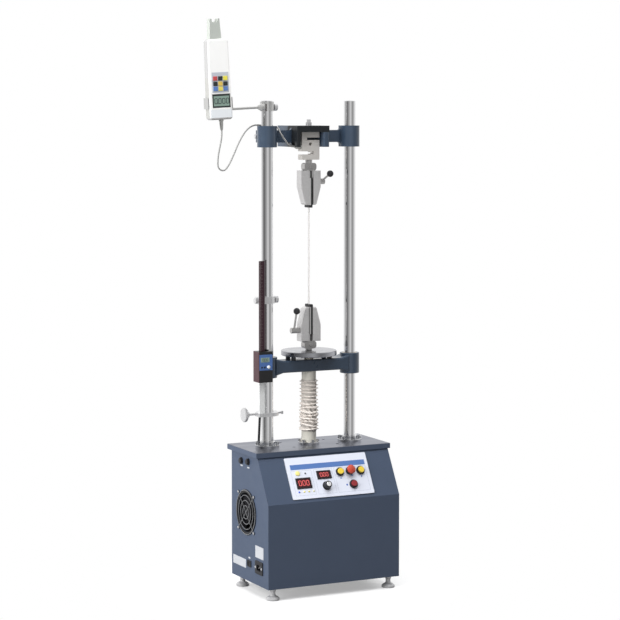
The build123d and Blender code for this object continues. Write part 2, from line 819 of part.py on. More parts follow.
def bellows():
    """Folded sleeve: a zigzag wall turned about the screw."""
    pitch = (bellows_high - bellows_low) / bellows_folds
    outer, inner = [], []
    for fold in range(bellows_folds):
        outer += [(bellows_inner, fold * pitch), (bellows_outer, (fold + 0.5) * pitch)]
    outer.append((bellows_inner, bellows_folds * pitch))
    inner = [(radius - bellows_wall * 1.6, z) for radius, z in reversed(outer)]
    return Pos(0, 0, bellows_low) * turned(outer + inner)


def bellows_top_collar():
    return ring(top_collar_radius, screw_radius + 1, top_collar_height, z=bellows_high)


def scale_bar():
    return block(
        scale_x - scale_width / 2, scale_x + scale_width / 2, scale_y - scale_thickness / 2,
        scale_y + scale_thickness / 2, stop_top, scale_top,
    )


def scale_lug(bottom, height, back):
    """Lug that ties the scale bar to a ring round the left column."""
    lug = block(
        scale_x - scale_width / 2, -column_x, scale_y + scale_thickness / 2, back, bottom, bottom + height
    )
    return lug - post(column_radius + running_gap, far, -column_x, 0, bottom - 1)


def scale_collar():
    """Collar on the left column behind the scale bar, with a thumb screw at each side."""
    collar = ring(collar_radius, column_radius + running_gap, collar_height, -column_x, 0, collar_bottom)
    collar += scale_lug(collar_bottom, collar_height, 0)
    middle = collar_bottom + collar_height / 2
    edge = scale_x - scale_width / 2
    left = rod(9, 8, (edge, -15, middle), (-1, 0, 0))
    right_root = -column_x + collar_radius
    right = rod(3, 2, (right_root - 2, 0, middle), (1, 0, 0))
    right += rod(10, 10, (right_root, 0, middle), (1, 0, 0))
    collar -= rod(3, far, (right_root - 2, 0, middle), (1, 0, 0))
    return [collar, chamfer(left.edges(), 1), right]


def scale_slider():
    """Readout that rides with the crosshead along the scale bar."""
    left = scale_x - scale_width / 2 - 8
    right = left + slider_width
    low, high = slider_bottom, slider_bottom + slider_height
    front_back = scale_y - scale_thickness / 2 - 1
    body = block(left, right, slider_front, front_back, low, high)
    body = fillet(body.edges().filter_by(Axis.Z).group_by(Axis.Y)[0], 3)
    back = scale_y + scale_thickness / 2 + 2
    body += block(left, scale_x + scale_width / 2 + 2, front_back - 1, back, low, high)
    body += block(left, left + 17, front_back - 1, slider_back, low, high)
    body -= block(
        scale_x - scale_width / 2 - slide_gap, scale_x + scale_width / 2 + slide_gap,
        scale_y - scale_thickness / 2 - slide_gap, scale_y + scale_thickness / 2 + slide_gap,
        low - 1, high + 1,
    )
    pad = block(right - 14, right - 1, front_back - 1, -14, crosshead_bottom + 10, crosshead_top - 10)
    body += pad
    return body - post(boss_radius + running_gap, far, -column_x, 0, low - 1)


def travel_stop():
    """Ring clamped to the left column that carries the foot of the scale and the switch lead."""
    stop = ring(stop_radius, column_radius + running_gap, stop_thickness, -column_x, 0, stop_bottom)
    stop = stop + scale_foot()
    middle = stop_bottom + stop_thickness / 2
    stop -= rod(3 + running_gap, far, (-column_x, 0, middle), (-1, 0, 0))
    right_root = -column_x + stop_radius
    screw = rod(2.5, 12, (right_root - 0.5, 0, middle), (1, 0, 0))
    screw += rod(4.5, 5, (right_root + 11.5, 0, middle), (1, 0, 0))
    stop -= rod(2.5, far, (right_root - 0.5, 0, middle), (1, 0, 0))
    return [stop, screw]


def scale_foot():
    foot = block(
        scale_x - scale_width / 2, -column_x, scale_y - scale_thickness / 2 - 2, 0, stop_bottom, stop_top
    )
    return foot - post(column_radius + running_gap, far, -column_x, 0, stop_bottom - 1)


def stop_wheel():
    """Clamp screw with a fluted wheel at its outer end."""
    middle = stop_bottom + stop_thickness / 2
    start = -column_x - column_radius - slide_gap
    wheel_at = -column_x - wheel_reach
    screw = rod(3, start - wheel_at, (start, 0, middle), (-1, 0, 0))
    screw += rod(8, 8, (wheel_at + 8, 0, middle), (-1, 0, 0))
    wheel = rod(wheel_radius, wheel_width, (wheel_at, 0, middle), (-1, 0, 0))
    wheel = chamfer(wheel.edges(), 1.5)
    for flute in range(wheel_flutes):
        turn = math.radians(360 * flute / wheel_flutes)
        reach = wheel_radius + 0.8
        place = (wheel_at + 1, reach * math.cos(turn), middle + reach * math.sin(turn))
        wheel -= rod(1.6, wheel_width + 2, place, (-1, 0, 0))
    return screw + wheel


def stop_lead():
    """Switch lead between the travel stop and its grommet in the top plate."""
    along = Vector(*lead_top) - Vector(*lead_foot)
    start = Vector(*lead_foot) - along.normalized() * 10
    lead = rod(stop_lead_radius, along.length + 20, tuple(start), tuple(along))
    lead &= block(-far, 0, -far, far, lead_foot[2], lead_top[2])
    grommet = post(6.5, lead_foot[2] - plate_top, lead_foot[0], lead_foot[1], plate_top)
    return [lead, chamfer(grommet.edges().group_by(Axis.Z)[-1], 1)]


def gauge_body():
    """Hand-held gauge case, wider at the display end, with rounded long edges."""
    wide, narrow = gauge_wide / 2, gauge_narrow / 2
    outline = make_face(Polyline(
        (-wide, 0), (wide, 0), (narrow, gauge_height), (-narrow, gauge_height), close=True
    ))
    outline = fillet(outline.vertices(), 9)
    case = extrude(Plane.XZ * outline, amount=gauge_depth / 2, both=True)
    faces = case.faces().sort_by(Axis.Y)
    case = fillet(faces[0].edges() + faces[-1].edges(), gauge_edge)
    window = Pos(window_x, -gauge_depth / 2, window_rise) * Box(window_width, 2, window_height)
    return gauge_place * (case - window)


def gauge_face():
    """Display window and the rubber keys, each standing on the case."""
    pane = Box(window_width - 2 * panel_gap, 1, window_height - 2 * panel_gap)
    pieces = [gauge_place * Pos(window_x, -gauge_depth / 2 + 0.5, window_rise) * pane]
    for x, z in [(1 + step * key_pitch, z) for z in key_rows for step in (-1, 0, 1)]:
        key = rod(gauge_key_radius, gauge_key_height, (x, -gauge_depth / 2, z), (0, -1, 0))
        pieces.append(gauge_place * chamfer(key.edges().sort_by(Axis.Y)[0:1], 0.5))
    return pieces


def gauge_head():
    """Notched hanging head on the top end of the gauge."""
    outline = [
        (-18, 0), (18, 0), (15, 48), (15, 57), (9.5, 57), (8.5, 49), (3, 46), (0, 49), (-3, 46), (-8.5, 49),
        (-9.5, 57), (-15, 57), (-15, 48),
    ]
    head = extrude(Plane.XZ * make_face(Polyline(*outline, close=True)), amount=10, both=True)
    return gauge_place * Pos(-4, 0, gauge_height) * head


def gauge_band(extra, y0, y1, z0, z1):
    """Slice of the gauge's tapered outline, widened at each side, between two depths and two heights."""
    wide, narrow = gauge_wide / 2 + extra, gauge_narrow / 2 + extra
    outline = make_face(Polyline(
        (-wide, 0), (wide, 0), (narrow, gauge_height), (-narrow, gauge_height), close=True
    ))
    return (Pos(0, y1, 0) * extrude(Plane.XZ * outline, amount=y1 - y0)) & block(-far, far, -far, far, z0, z1)


def gauge_arm():
    """Holder round the gauge with a strap up its back, the rod, and the collar on the left column."""
    front, back = -gauge_depth / 2 + 3, gauge_depth / 2
    holder = gauge_band(panel_gap + holder_sheet, front, back + holder_sheet, holder_low, holder_high)
    holder -= gauge_band(panel_gap, -far, back, 0, far)
    holder += block(*strap_sides, back, back + holder_sheet, holder_high - 1, strap_top)
    holder = gauge_place * holder
    rod_z = cap_bottom + cap_height / 2 - 2
    lean = math.radians(gauge_tilt)
    along = (-math.cos(lean), 0, -math.sin(lean))
    root = (-column_x - cap_radius + 6, arm_y, rod_z)
    reach = (root[0] - gauge_x - gauge_wide / 2 - panel_gap - holder_sheet / 2) / math.cos(lean)
    socket = Plane(origin=root, z_dir=along) * turned([
        (0, 0), (arm_socket_radius, 0), (arm_socket_radius, 10), (6, 18), (arm_radius + 1, 20), (0, 20),
    ])
    arm = rod(arm_radius, reach, root, along) + socket
    arm += post(cap_radius, cap_height, -column_x, 0, cap_bottom)
    cap = arm - post(column_radius + running_gap, far, -column_x, 0, cap_bottom - far / 2)
    cap -= block(-column_x - 2.5, -column_x + 2.5, -far, 0, cap_bottom - 1, cap_bottom + cap_height + 1)
    cap -= rod(3 + running_gap, far, (-column_x + 10, 0, rod_z), (1, 0, 0))
    return [holder + cap]


def arm_knob():
    """Thumb knob that tightens the collar on the column."""
    rod_z = cap_bottom + cap_height / 2 - 2
    start = -column_x + column_radius + slide_gap
    root = -column_x + cap_radius + slide_gap
    knob = rod(3, root - start + 1, (start, 0, rod_z), (1, 0, 0))
    head = rod(10.5, 11, (root, 0, rod_z), (1, 0, 0))
    return knob + chamfer(head.edges(), 1.5)


# Sensor cable from the gauge to the load cell, laid by hand: down from the gauge, round a hanging loop,
# up behind the left boss, over the left neck and down to the gland. The last number of each point is how
# far it lies below the tops of the columns.
cable_radius = 2.25
cable_points = [
    (-288.3, -20.0, 126.5),
    (-291.9, -17.0, 148.2),
    (-293.1, -14.0, 168.0),
    (-292.0, -11.5, 187.4),
    (-282.3, -10.0, 197.0),
    (-268.6, -8.0, 197.0),
    (-259.0, -5.0, 187.4),
    (-250.0, -2.0, 176.5),
    (-240.5, 1.5, 160.5),
    (-229.5, 6.0, 142.1),
    (-217.8, 11.5, 122.1),
    (-204.0, 17.0, 102.4),
    (-187.2, 24.0, 84.0),
    (-167.7, 31.0, 72.4),
    (-148.3, 37.0, 69.0),
    (-128.0, 40.0, 71.0),
    (-111.5, 34.0, 73.0),
    (-101.0, 21.0, 74.5),
    (-96.5, 5.5, 76.0),
    (-96.5, -7.5, 88.0),
    (-88.8, -12.5, 104.0),
    (-77.5, -13.0, 118.0),
    (-69.0, -10.0, 126.8),
]
relief_end = gauge_place * Pos(relief_x, 0, -relief_length)
cable_route = [
    tuple(relief_end.position),
    tuple((relief_end * Pos(0, 0, -16)).position),
    *[(x, y, column_top - drop) for x, y, drop in cable_points],
    (-cell_width / 2 - gland_length - 11, gland_y, gland_z),
    (-cell_width / 2 - gland_length, gland_y, gland_z),
]


def corner_radii(points):
    """The largest arc that each corner's two runs allow."""
    radii = []
    for before, at, after in zip(points, points[1:], points[2:]):
        first, second = Vector(*at) - Vector(*before), Vector(*after) - Vector(*at)
        half_turn = math.radians(first.get_angle(second)) / 2
        radii.append(0.45 * min(first.length, second.length) / math.tan(half_turn))
    return radii


def sensor_cable():
    radii = corner_radii(cable_route)
    path = FilletPolyline(*cable_route, radius=radii)
    print("cable radii", [round(radius, 1) for radius in radii])
    start = Vector(*cable_route[0])
    profile = Plane(origin=start, z_dir=path % 0) * Circle(cable_radius)
    tube = sweep(profile, path=path)
    expected = math.pi * cable_radius ** 2 * path.length
    print("cable length", round(path.length, 1), "volume ratio", round(tube.volume / expected, 5))
    return tube


def control_panel():
    """Face plate on the slope, with its holes."""
    plate = extrude(RectangleRounded(panel_width, panel_length, 3), amount=panel_thickness)
    plate = Pos(0, panel_start + panel_length / 2, 0) * plate
    for x, t, width, height in display_places:
        plate -= Pos(x, t, 0) * Box(width - 4, height - 4, far)
    for x, t in button_places.values():
        plate -= post(barrel_radius + stem_clearance, far, x, t, -50)
    plate -= post(3 + running_gap, far, *knob_place, -50)
    plate -= post(key_radius + panel_gap, far, *key_place, -50)
    for x, t in lamp_places:
        plate -= post(lamp_radius + stem_clearance, far, x, t, -50)
    return panel_plane * plate


display_places = [(-86.0, 56.5, 47.0, 32.0), (-17.0, 77.0, 45.0, 25.0)]
button_places = {
    "up_button": (35.0, 81.0),
    "emergency_stop": (67.0, 82.0),
    "down_button": (101.0, 80.5),
    "stop_button": (69.0, 41.0),
}
knob_place = (-16.0, 43.0)
key_place = (-98.0, 87.0)
lamp_places = [(-106.0, 31.0), (-90.0, 31.0), (-75.0, 31.0), (-60.0, 31.0), (-74.0, 85.5)]


def panel_displays():
    """Two readouts: a bezel on the plate, a case behind it and a sunken window."""
    pieces = []
    for x, t, width, height in display_places:
        bezel = Pos(x, t, panel_thickness) * Box(width, height, 3, align=(MID, MID, LOW))
        bezel = chamfer(bezel.edges().group_by(Axis.Z)[-1], 1)
        bezel -= Pos(x, t, panel_thickness + 2) * Box(width - 6, height - 6, 9, align=(MID, MID, LOW))
        case = Pos(x, t, panel_thickness) * Box(width - 5, height - 5, 30, align=(MID, MID, HIGH))
        pieces.append(panel_plane * (bezel + case))
    return pieces


def button_collars():
    """Collar and barrel of each push button, bored for its stem."""
    pieces = []
    low = panel_thickness
    for x, t in button_places.values():
        collar = post(collar_outer, cap_step + 1, x, t, low)
        collar = chamfer(collar.edges().group_by(Axis.Z)[-1], 1)
        collar -= post(button_radius + panel_gap, far, x, t, low + 1.5)
        collar += post(barrel_radius, barrel_depth + low + 1.5, x, t, -barrel_depth)
        collar -= post(stem_radius + stem_clearance, far, x, t, -50)
        pieces.append(panel_plane * collar)
    return pieces


def push_cap(name):
    """Flat cap on a stem. At full press it stops just above the collar's floor."""
    x, t = button_places[name]
    rest = panel_thickness + 1.5 + button_travel + panel_gap
    cap = post(button_radius, 6, x, t, rest)
    cap = fillet(cap.edges().group_by(Axis.Z)[-1], 1.5)
    return panel_plane * (cap + post(stem_radius, rest + 8, x, t, -8))


def emergency_stop():
    """Mushroom head on a stem."""
    x, t = button_places["emergency_stop"]
    rest = panel_thickness + cap_step + 1 + button_travel + panel_gap
    head = turned([
        (0, 0), (mushroom_radius - 4, 0), (mushroom_radius, 3), (mushroom_radius, 6),
        (mushroom_radius - 4, 9), (mushroom_radius - 9, 10.5), (0, 11),
    ])
    return panel_plane * (Pos(x, t, rest) * head + post(stem_radius, rest + 8, x, t, -8))


def speed_knob():
    """Skirted knob with grip flutes and a pointer ridge, on its shaft."""
    x, t = knob_place
    knob = turned([
        (0, 0), (knob_radius + 2, 0), (knob_radius + 2, 1.5), (knob_radius, 3), (knob_radius - 1, 15),
        (knob_radius - 2, 16), (0, 16),
    ])
    for flute in range(12):
        groove = Pos(knob_radius + 0.9, 0, 3) * Cylinder(1.6, 20, align=(MID, MID, LOW))
        knob -= Rot(0, 0, 30 * flute) * groove
    knob += Pos(0, knob_radius / 2 - 1, 16) * Box(1.6, knob_radius - 3, 0.8, align=(MID, MID, LOW))
    knob += post(3, 14, z=-13)
    return panel_plane * (Pos(x, t, panel_thickness + slide_gap) * knob)


def mode_key():
    """Domed key held under the plate by its flange."""
    outline = [
        (0, -3.3), (key_radius + 1.5, -3.3), (key_radius + 1.5, -panel_gap), (key_radius, -panel_gap),
        (key_radius, 4.2), (key_radius - 1.5, 5.2), (0, 5.6),
    ]
    return panel_plane * (Pos(*key_place, 0) * turned(outline))


def indicator_lamps():
    outline = [(0, -4), (lamp_radius, -4), (lamp_radius, 4), (lamp_radius - 0.8, 5), (0, 5.4)]
    return [panel_plane * (Pos(x, t, 0) * turned(outline)) for x, t in lamp_places]


def fan_place(piece):
    """Turns a piece drawn on +Z so that its axis points into the cabinet from the left side."""
    return Plane(origin=(fan_inner_x, fan_y, fan_z), x_dir=(0, 1, 0), z_dir=(1, 0, 0)) * piece


def fan_housing():
    """Square fan frame with a round throat, four struts and the hub that carries the impeller."""
    frame = extrude(RectangleRounded(fan_size, fan_size, 4), amount=fan_depth)
    frame -= post(fan_bore, far, z=-20)
    strut_z = fan_depth - 3
    strut = Pos(fan_bore / 2, 0, strut_z) * Box(fan_bore + 4, 5, 3, align=(MID, MID, LOW))
    for turn in range(4):
        frame += Rot(0, 0, 45 + 90 * turn) * strut
    frame += post(fan_hub_radius, 3, z=strut_z)
    frame += post(4, strut_z - 4, z=5)
    return fan_place(frame)


def fan_impeller():
    """Hub with twisted blades, bored to run on the housing's post."""
    hub_low, hub_high = 2.5, fan_depth - 3 - slide_gap
    impeller = post(fan_hub_radius, hub_high - hub_low, z=hub_low)
    span = fan_bore - fan_tip_gap - fan_hub_radius + 2
    start = fan_hub_radius - 2
    root_plane = Plane(origin=(start, 0, 12), x_dir=(0, 1, 0), z_dir=(1, 0, 0))
    tip_plane = root_plane.offset(span)
    blade = loft([
        root_plane * Rot(0, 0, blade_root_pitch) * Rectangle(20, 2),
        tip_plane * Rot(0, 0, blade_tip_pitch) * Rectangle(26, 1.6),
    ])
    for turn in range(fan_blades):
        impeller += Rot(0, 0, 360 * turn / fan_blades) * blade
    limit = post(fan_bore - fan_tip_gap, hub_high - hub_low, z=hub_low)
    impeller = impeller & limit
    return fan_place(impeller - post(4 + running_gap, hub_high - 4, z=4.5))


def fan_guard():
    """Wire guard: rings on two crossed bars with an eye at each end, over a flat ring round the throat."""
    wires = []
    for radius in guard_radii:
        wires.append(Pos(0, 0, -sheet - 2 * guard_wire) * Torus(radius, guard_wire))
    guard = wires[0]
    for wire in wires[1:]:
        guard += wire
    guard += ring(guard_ring_radius, fan_bore, guard_ring_thickness, z=-sheet - guard_ring_thickness)
    eye = fan_size / 2 - 8
    reach = math.hypot(eye, eye)
    for turn in (45, 135):
        bar = Pos(0, 0, -sheet - guard_wire) * Box(2 * reach, 2 * guard_wire, 2 * guard_wire)
        guard += Rot(0, 0, turn) * bar
    for x in (-eye, eye):
        for y in (-eye, eye):
            guard += Pos(x, y, -sheet - 2 * guard_wire) * Cylinder(5, 2 * guard_wire, align=(MID, MID, LOW))
    return fan_place(guard)


def side_plane(y, z):
    """Local plane on the left side: x forward to back, y up, z out of the cabinet."""
    return Plane(origin=(-side_x, y, z), x_dir=(0, -1, 0), z_dir=(-1, 0, 0))


def side_connectors():
    """Mains inlet, the frame of the rocker switch, and two capped signal sockets."""
    inlet = extrude(RectangleRounded(*inlet_flange, 4), amount=inlet_flange_thickness)
    inlet = chamfer(inlet.edges().group_by(Axis.Z)[-1], 1)
    inlet += Pos(0, 0, -inlet_depth) * Box(*inlet_body, inlet_depth + 1, align=(MID, MID, LOW))
    mouth = extrude(RectangleRounded(*inlet_mouth, 3), amount=far)
    inlet -= Pos(0, 0, inlet_flange_thickness - inlet_mouth_depth) * mouth
    pieces = [side_plane(inlet_y, inlet_z) * inlet]

    frame = extrude(RectangleRounded(*switch_bezel, 2), amount=2)
    frame += Pos(0, 0, -switch_depth) * Box(
        switch_mouth[0] + 3, switch_mouth[1] + 3, switch_depth + 1, align=(MID, MID, LOW)
    )
    frame -= Pos(0, 0, rocker_floor) * Box(*switch_mouth, far, align=(MID, MID, LOW))
    pin = rod(switch_pin_radius, switch_mouth[1] + 2, (0, -switch_mouth[1] / 2 - 1, rocker_pivot), (0, 1, 0))
    frame += pin
    pieces.append(side_plane(switch_y, switch_z) * frame)

    for y, drop in socket_places:
        body = post(socket_radius + socket_flange, 3)
        body += post(socket_radius, 7)
        body = chamfer(body.edges().group_by(Axis.Z)[-1], 1)
        body += post(socket_radius - 1.2, socket_depth + 1, z=-socket_depth)
        pieces.append(side_plane(y, cabinet_top - drop) * body)
    return pieces


def power_rocker():
    """Rocker with a hollowed face on a cross pin, shown tipped to its off side."""
    half = rocker_half_length
    outline = [
        (-half, 5.5), (-half + 0.5, -1), (-2.5, -4.4), (2.5, -4.4), (half - 0.5, -1), (half, 5.5), (0, 3.8),
    ]
    width = switch_mouth[1] - 2 * panel_gap
    rocker = extrude(Plane.XZ * make_face(Polyline(*outline, close=True)), amount=width / 2, both=True)
    rocker -= rod(switch_pin_radius + running_gap, far, (0, -far / 2, 0), (0, 1, 0))
    return side_plane(switch_y, switch_z) * Pos(0, 0, rocker_pivot) * Rot(0, rocker_tilt, 0) * rocker


def main():
    os.makedirs("parts", exist_ok=True)
    write("cabinet_shell", cabinet_shell())
    write("rear_cover", rear_cover())
    write("base_pan", base_pan())
    write("levelling_feet", *levelling_feet())
    write("top_plate", top_plate())
    write("columns", *columns())
    write("column_flanges", *column_flanges())
    write("upper_beam", upper_beam())
    write("cell_carrier", cell_carrier())
    write("beam_fixings", *beam_fixings())
    write("load_cell", load_cell())
    write("cable_glands", *cable_glands())
    write("upper_adapter", *adapter(cell_bottom, adapter_nut_height, 180))
    write("upper_grip_body", *place_upper(grip_local()))
    write("upper_jaw", *place_upper([moving_jaw_local()]))
    write("upper_lever", *place_upper(lever_local(upper_hub_length, upper_ball_reach)))
    write("lower_adapter", *adapter(platen_top, lower_nut_height, 0))
    write("lower_grip_body", *place_lower(grip_local()))
    write("lower_jaw", *place_lower([moving_jaw_local()]))
    lower_reach = (lower_ball_reach[0], -lower_ball_reach[1])
    write("lower_lever", *place_lower(lever_local(lower_hub_length, lower_reach)))
    write("crosshead", crosshead())
    write("crosshead_bushes", *crosshead_bushes())
    write("platen", platen())
    write("platen_fixings", *platen_fixings())
    write("ball_screw", ball_screw())
    write("screw_bearing", screw_bearing())
    write("nut_pulley", nut_pulley())
    write("motor_pulley", motor_pulley())
    write("drive_belt", drive_belt())
    write("drive_motor", *drive_motor())
    write("bellows_base", *bellows_base())
    write("bellows", bellows())
    write("bellows_top_collar", bellows_top_collar())
    write("scale_bar", scale_bar())
    write("scale_collar", *scale_collar())
    write("scale_slider", scale_slider())
    write("travel_stop", *travel_stop())
    write("stop_wheel", stop_wheel())
    write("stop_lead", *stop_lead())
    write("gauge_body", gauge_body())
    write("gauge_face", *gauge_face())
    write("gauge_head", gauge_head())
    write("gauge_arm", *gauge_arm())
    write("arm_knob", arm_knob())
    write("sensor_cable", sensor_cable())
    write("control_panel", control_panel())
    write("panel_displays", *panel_displays())
    write("button_collars", *button_collars())
    for name in ("up_button", "down_button", "stop_button"):
        write(name, push_cap(name))
    write("emergency_stop", emergency_stop())
    write("speed_knob", speed_knob())
    write("mode_key", mode_key())
    write("indicator_lamps", *indicator_lamps())
    write("fan_housing", fan_housing())
    write("fan_impeller", fan_impeller())
    write("fan_guard", fan_guard())
    write("side_connectors", *side_connectors())
    write("power_rocker", power_rocker())


main()
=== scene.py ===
import bpy
import math
import numpy as np
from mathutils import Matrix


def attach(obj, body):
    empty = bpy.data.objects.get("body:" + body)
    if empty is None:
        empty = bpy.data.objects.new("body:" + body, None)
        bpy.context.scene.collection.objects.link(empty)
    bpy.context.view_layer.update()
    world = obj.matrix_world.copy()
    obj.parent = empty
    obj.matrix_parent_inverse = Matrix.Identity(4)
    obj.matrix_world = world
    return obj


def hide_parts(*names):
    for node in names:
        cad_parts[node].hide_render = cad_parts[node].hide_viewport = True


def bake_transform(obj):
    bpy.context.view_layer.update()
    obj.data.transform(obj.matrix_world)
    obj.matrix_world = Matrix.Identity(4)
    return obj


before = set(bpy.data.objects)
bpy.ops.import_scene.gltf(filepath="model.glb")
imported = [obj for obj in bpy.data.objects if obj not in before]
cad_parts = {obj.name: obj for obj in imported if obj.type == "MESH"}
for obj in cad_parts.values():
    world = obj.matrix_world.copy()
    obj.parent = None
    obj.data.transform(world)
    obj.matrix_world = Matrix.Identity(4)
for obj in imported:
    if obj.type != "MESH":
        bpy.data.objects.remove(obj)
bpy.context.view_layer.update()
print("frame loaded:", len(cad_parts), "nodes")

# Places shared with the CAD, in metres
kinkHeight = 0.274        # where the upright front meets the sloping panel
cabinetFront = -0.167
cabinetSide = 0.209
coverFace = 0.082         # outer face of the rear cover
readoutFront = -0.045
fanCentre = (0, -0.020, 0.231)
panelTurn = math.radians(60)
gaugeOrigin = (-0.291, -0.022, 1.3545)
gaugeFront = 0.016        # from the middle of the gauge's case to its flat front
gaugeTurn = math.radians(-3)
wholeTurn = 2 * math.pi


# Quads between neighbouring rings of points, each ring closed on itself
def ringFaces(rings, around):
    low = np.arange(rings - 1)[:, None] * around
    high = low + around
    here, after = np.arange(around), (np.arange(around) + 1) % around
    return np.stack([low + here, low + after, high + after, high + here], axis=-1).reshape(-1, 4)


def makePiece(name, points, faces, material, smooth=True):
    mesh = bpy.data.meshes.new(name)
    mesh.from_pydata(np.asarray(points, float).reshape(-1, 3), [], faces)
    mesh.polygons.foreach_set("use_smooth", np.full(len(mesh.polygons), smooth))
    mesh.materials.append(material)
    mesh.update()
    piece = bpy.data.objects.new(name, mesh)
    bpy.context.collection.objects.link(piece)
    return piece


# Many boxes at once: every centre plus or minus half of its size along each axis
def boxes(centres, sizes):
    centres, sizes = np.asarray(centres, float), np.asarray(sizes, float)
    corner = np.array([(x, y, z) for x in (-1, 1) for y in (-1, 1) for z in (-1, 1)]) / 2
    points = centres[:, None, :] + corner[None] * np.broadcast_to(sizes, centres.shape)[:, None, :]
    side = np.array([(0, 1, 3, 2), (4, 6, 7, 5), (0, 4, 5, 1), (2, 3, 7, 6), (0, 2, 6, 4), (1, 5, 7, 3)])
    faces = (np.arange(len(centres)) * 8)[:, None, None] + side[None]
    return points.reshape(-1, 3), faces.reshape(-1, 4).tolist()


# Profile turned about Z: radius times cosine and sine of the angle, at each height
def turnedRings(radii, heights, around=48):
    angle = np.linspace(0, wholeTurn, around, endpoint=False)
    radii, heights = np.asarray(radii, float)[:, None], np.asarray(heights, float)[:, None]
    return np.stack([radii * np.cos(angle), radii * np.sin(angle), heights + 0 * angle], axis=-1)


# Turned buttons standing along the third local axis, one at each centre, closed by a pole at both ends
def discs(centres, profile, around=24):
    radii, heights = np.array(profile, float).T
    local = np.concatenate([turnedRings(radii, heights, around).reshape(-1, 3),
                            [(0, 0, heights[0]), (0, 0, heights[-1])]])
    k, last = np.arange(around), (len(radii) - 1) * around
    after = (k + 1) % around
    low, high = np.full(around, len(local) - 2), np.full(around, len(local) - 1)
    caps = np.concatenate([np.stack([low, after, k], -1), np.stack([high, last + k, last + after], -1)])
    start = (np.arange(len(centres)) * len(local))[:, None, None]
    points = (np.asarray(centres, float)[:, None, :] + local[None]).reshape(-1, 3)
    sides = (start + ringFaces(len(radii), around)[None]).reshape(-1, 4)
    return points, sides.tolist() + (start + caps[None]).reshape(-1, 3).tolist()


# The flat faces that small pieces stand on: an origin, then which way is right, up and out of the face
standFaces = {
    "panel": {"origin": (0, cabinetFront, kinkHeight), "right": (1, 0, 0),
              "up": (0, math.cos(panelTurn), math.sin(panelTurn)),
              "out": (0, -math.sin(panelTurn), math.cos(panelTurn))},
    "gauge": {"origin": (gaugeOrigin[0], gaugeOrigin[1] - gaugeFront, gaugeOrigin[2]),
              "right": (math.cos(gaugeTurn), 0, -math.sin(gaugeTurn)),
              "up": (math.sin(gaugeTurn), 0, math.cos(gaugeTurn)), "out": (0, -1, 0)},
    "readout": {"origin": (0, readoutFront, 0), "right": (1, 0, 0), "up": (0, 0, 1), "out": (0, -1, 0)},
    "leftSide": {"origin": (-cabinetSide, 0, 0), "right": (0, -1, 0), "up": (0, 0, 1), "out": (-1, 0, 0)},
    "rearCover": {"origin": (0, coverFace, 0), "right": (-1, 0, 0), "up": (0, 0, 1), "out": (0, 1, 0)},
}


# World place = origin + first number along right + second along up + third along out
def onFace(name, points):
    face = standFaces[name]
    axes = np.array([face["right"], face["up"], face["out"]])
    return np.asarray(points, float).reshape(-1, 3) @ axes + face["origin"]


# Stands a piece on a face, gives it its body and material slot, and rounds its edges
def addPiece(name, shape, face, paint, body, bevel=0.0, smooth=False):
    points, faces = shape
    piece = makePiece(name, onFace(face, points), faces, paint["material"], smooth)
    if bevel:
        edges = piece.modifiers.new("edges", "BEVEL")
        edges.width = bevel
        edges.segments = 2
        edges.limit_method = "ANGLE"
    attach(piece, body)


# Seven-segment figures as boxes: bars a to g round the middle of each figure, sized by shares of its height
figureBars = {"0": "abcdef", "1": "bc", "2": "abged", "3": "abgcd", "4": "fgbc", "5": "afgcd",
              "6": "afgedc", "7": "abc", "8": "abcdefg", "9": "abcdfg", "-": "g"}
figureShares = {"width": 0.46, "stroke": 0.13, "step": 0.72, "gap": 0.2}
figureThickness = 0.0002


def figures(text, middle, height, out):
    width, stroke, step = (height * figureShares[key] for key in ("width", "stroke", "step"))
    half = height / 2 - stroke / 2
    bars = {"a": (0, half, 1), "g": (0, 0, 1), "d": (0, -half, 1), "b": (width / 2, half / 2, 0),
            "c": (width / 2, -half / 2, 0), "f": (-width / 2, half / 2, 0), "e": (-width / 2, -half / 2, 0)}
    lyingBar = (width - stroke, stroke, figureThickness)
    standingBar = (stroke, half - stroke * figureShares["gap"], figureThickness)
    centres, sizes = [], []
    left = middle[0] - step * (len(text.replace(".", "")) - 1) / 2
    for sign in text:
        if sign == ".":
            centres.append((left - step / 2, middle[1] - half, out))
            sizes.append((stroke, stroke, figureThickness))
            continue
        for bar in figureBars[sign]:
            x, y, lying = bars[bar]
            centres.append((left + x, middle[1] + y, out))
            sizes.append(lyingBar if lying else standingBar)
        left += step
    return boxes(centres, sizes)


def newMaterial(name, color, roughness, metallic=0.0):
    material = bpy.data.materials.new(name)
    material.use_nodes = True
    shader = material.node_tree.nodes["Principled BSDF"]
    shader.inputs["Base Color"].default_value = (*color, 1)
    shader.inputs["Roughness"].default_value = roughness
    shader.inputs["Metallic"].default_value = metallic
    return material, material.node_tree, shader


# Object coordinates seen from a local frame at place, turned and scaled
def objectVector(tree, scale=(1, 1, 1), place=(0, 0, 0), turn=(0, 0, 0)):
    coordinate = tree.nodes.new("ShaderNodeTexCoord")
    mapping = tree.nodes.new("ShaderNodeMapping")
    mapping.vector_type = "TEXTURE"
    mapping.inputs["Location"].default_value = place
    mapping.inputs["Rotation"].default_value = turn
    mapping.inputs["Scale"].default_value = [1 / s for s in scale]
    tree.links.new(coordinate.outputs["Object"], mapping.inputs["Vector"])
    return mapping.outputs["Vector"]


def noiseValue(tree, vector, scale, detail):
    node = tree.nodes.new("ShaderNodeTexNoise")
    node.inputs["Scale"].default_value = scale
    node.inputs["Detail"].default_value = detail
    tree.links.new(vector, node.inputs["Vector"])
    return node.outputs["Fac"]


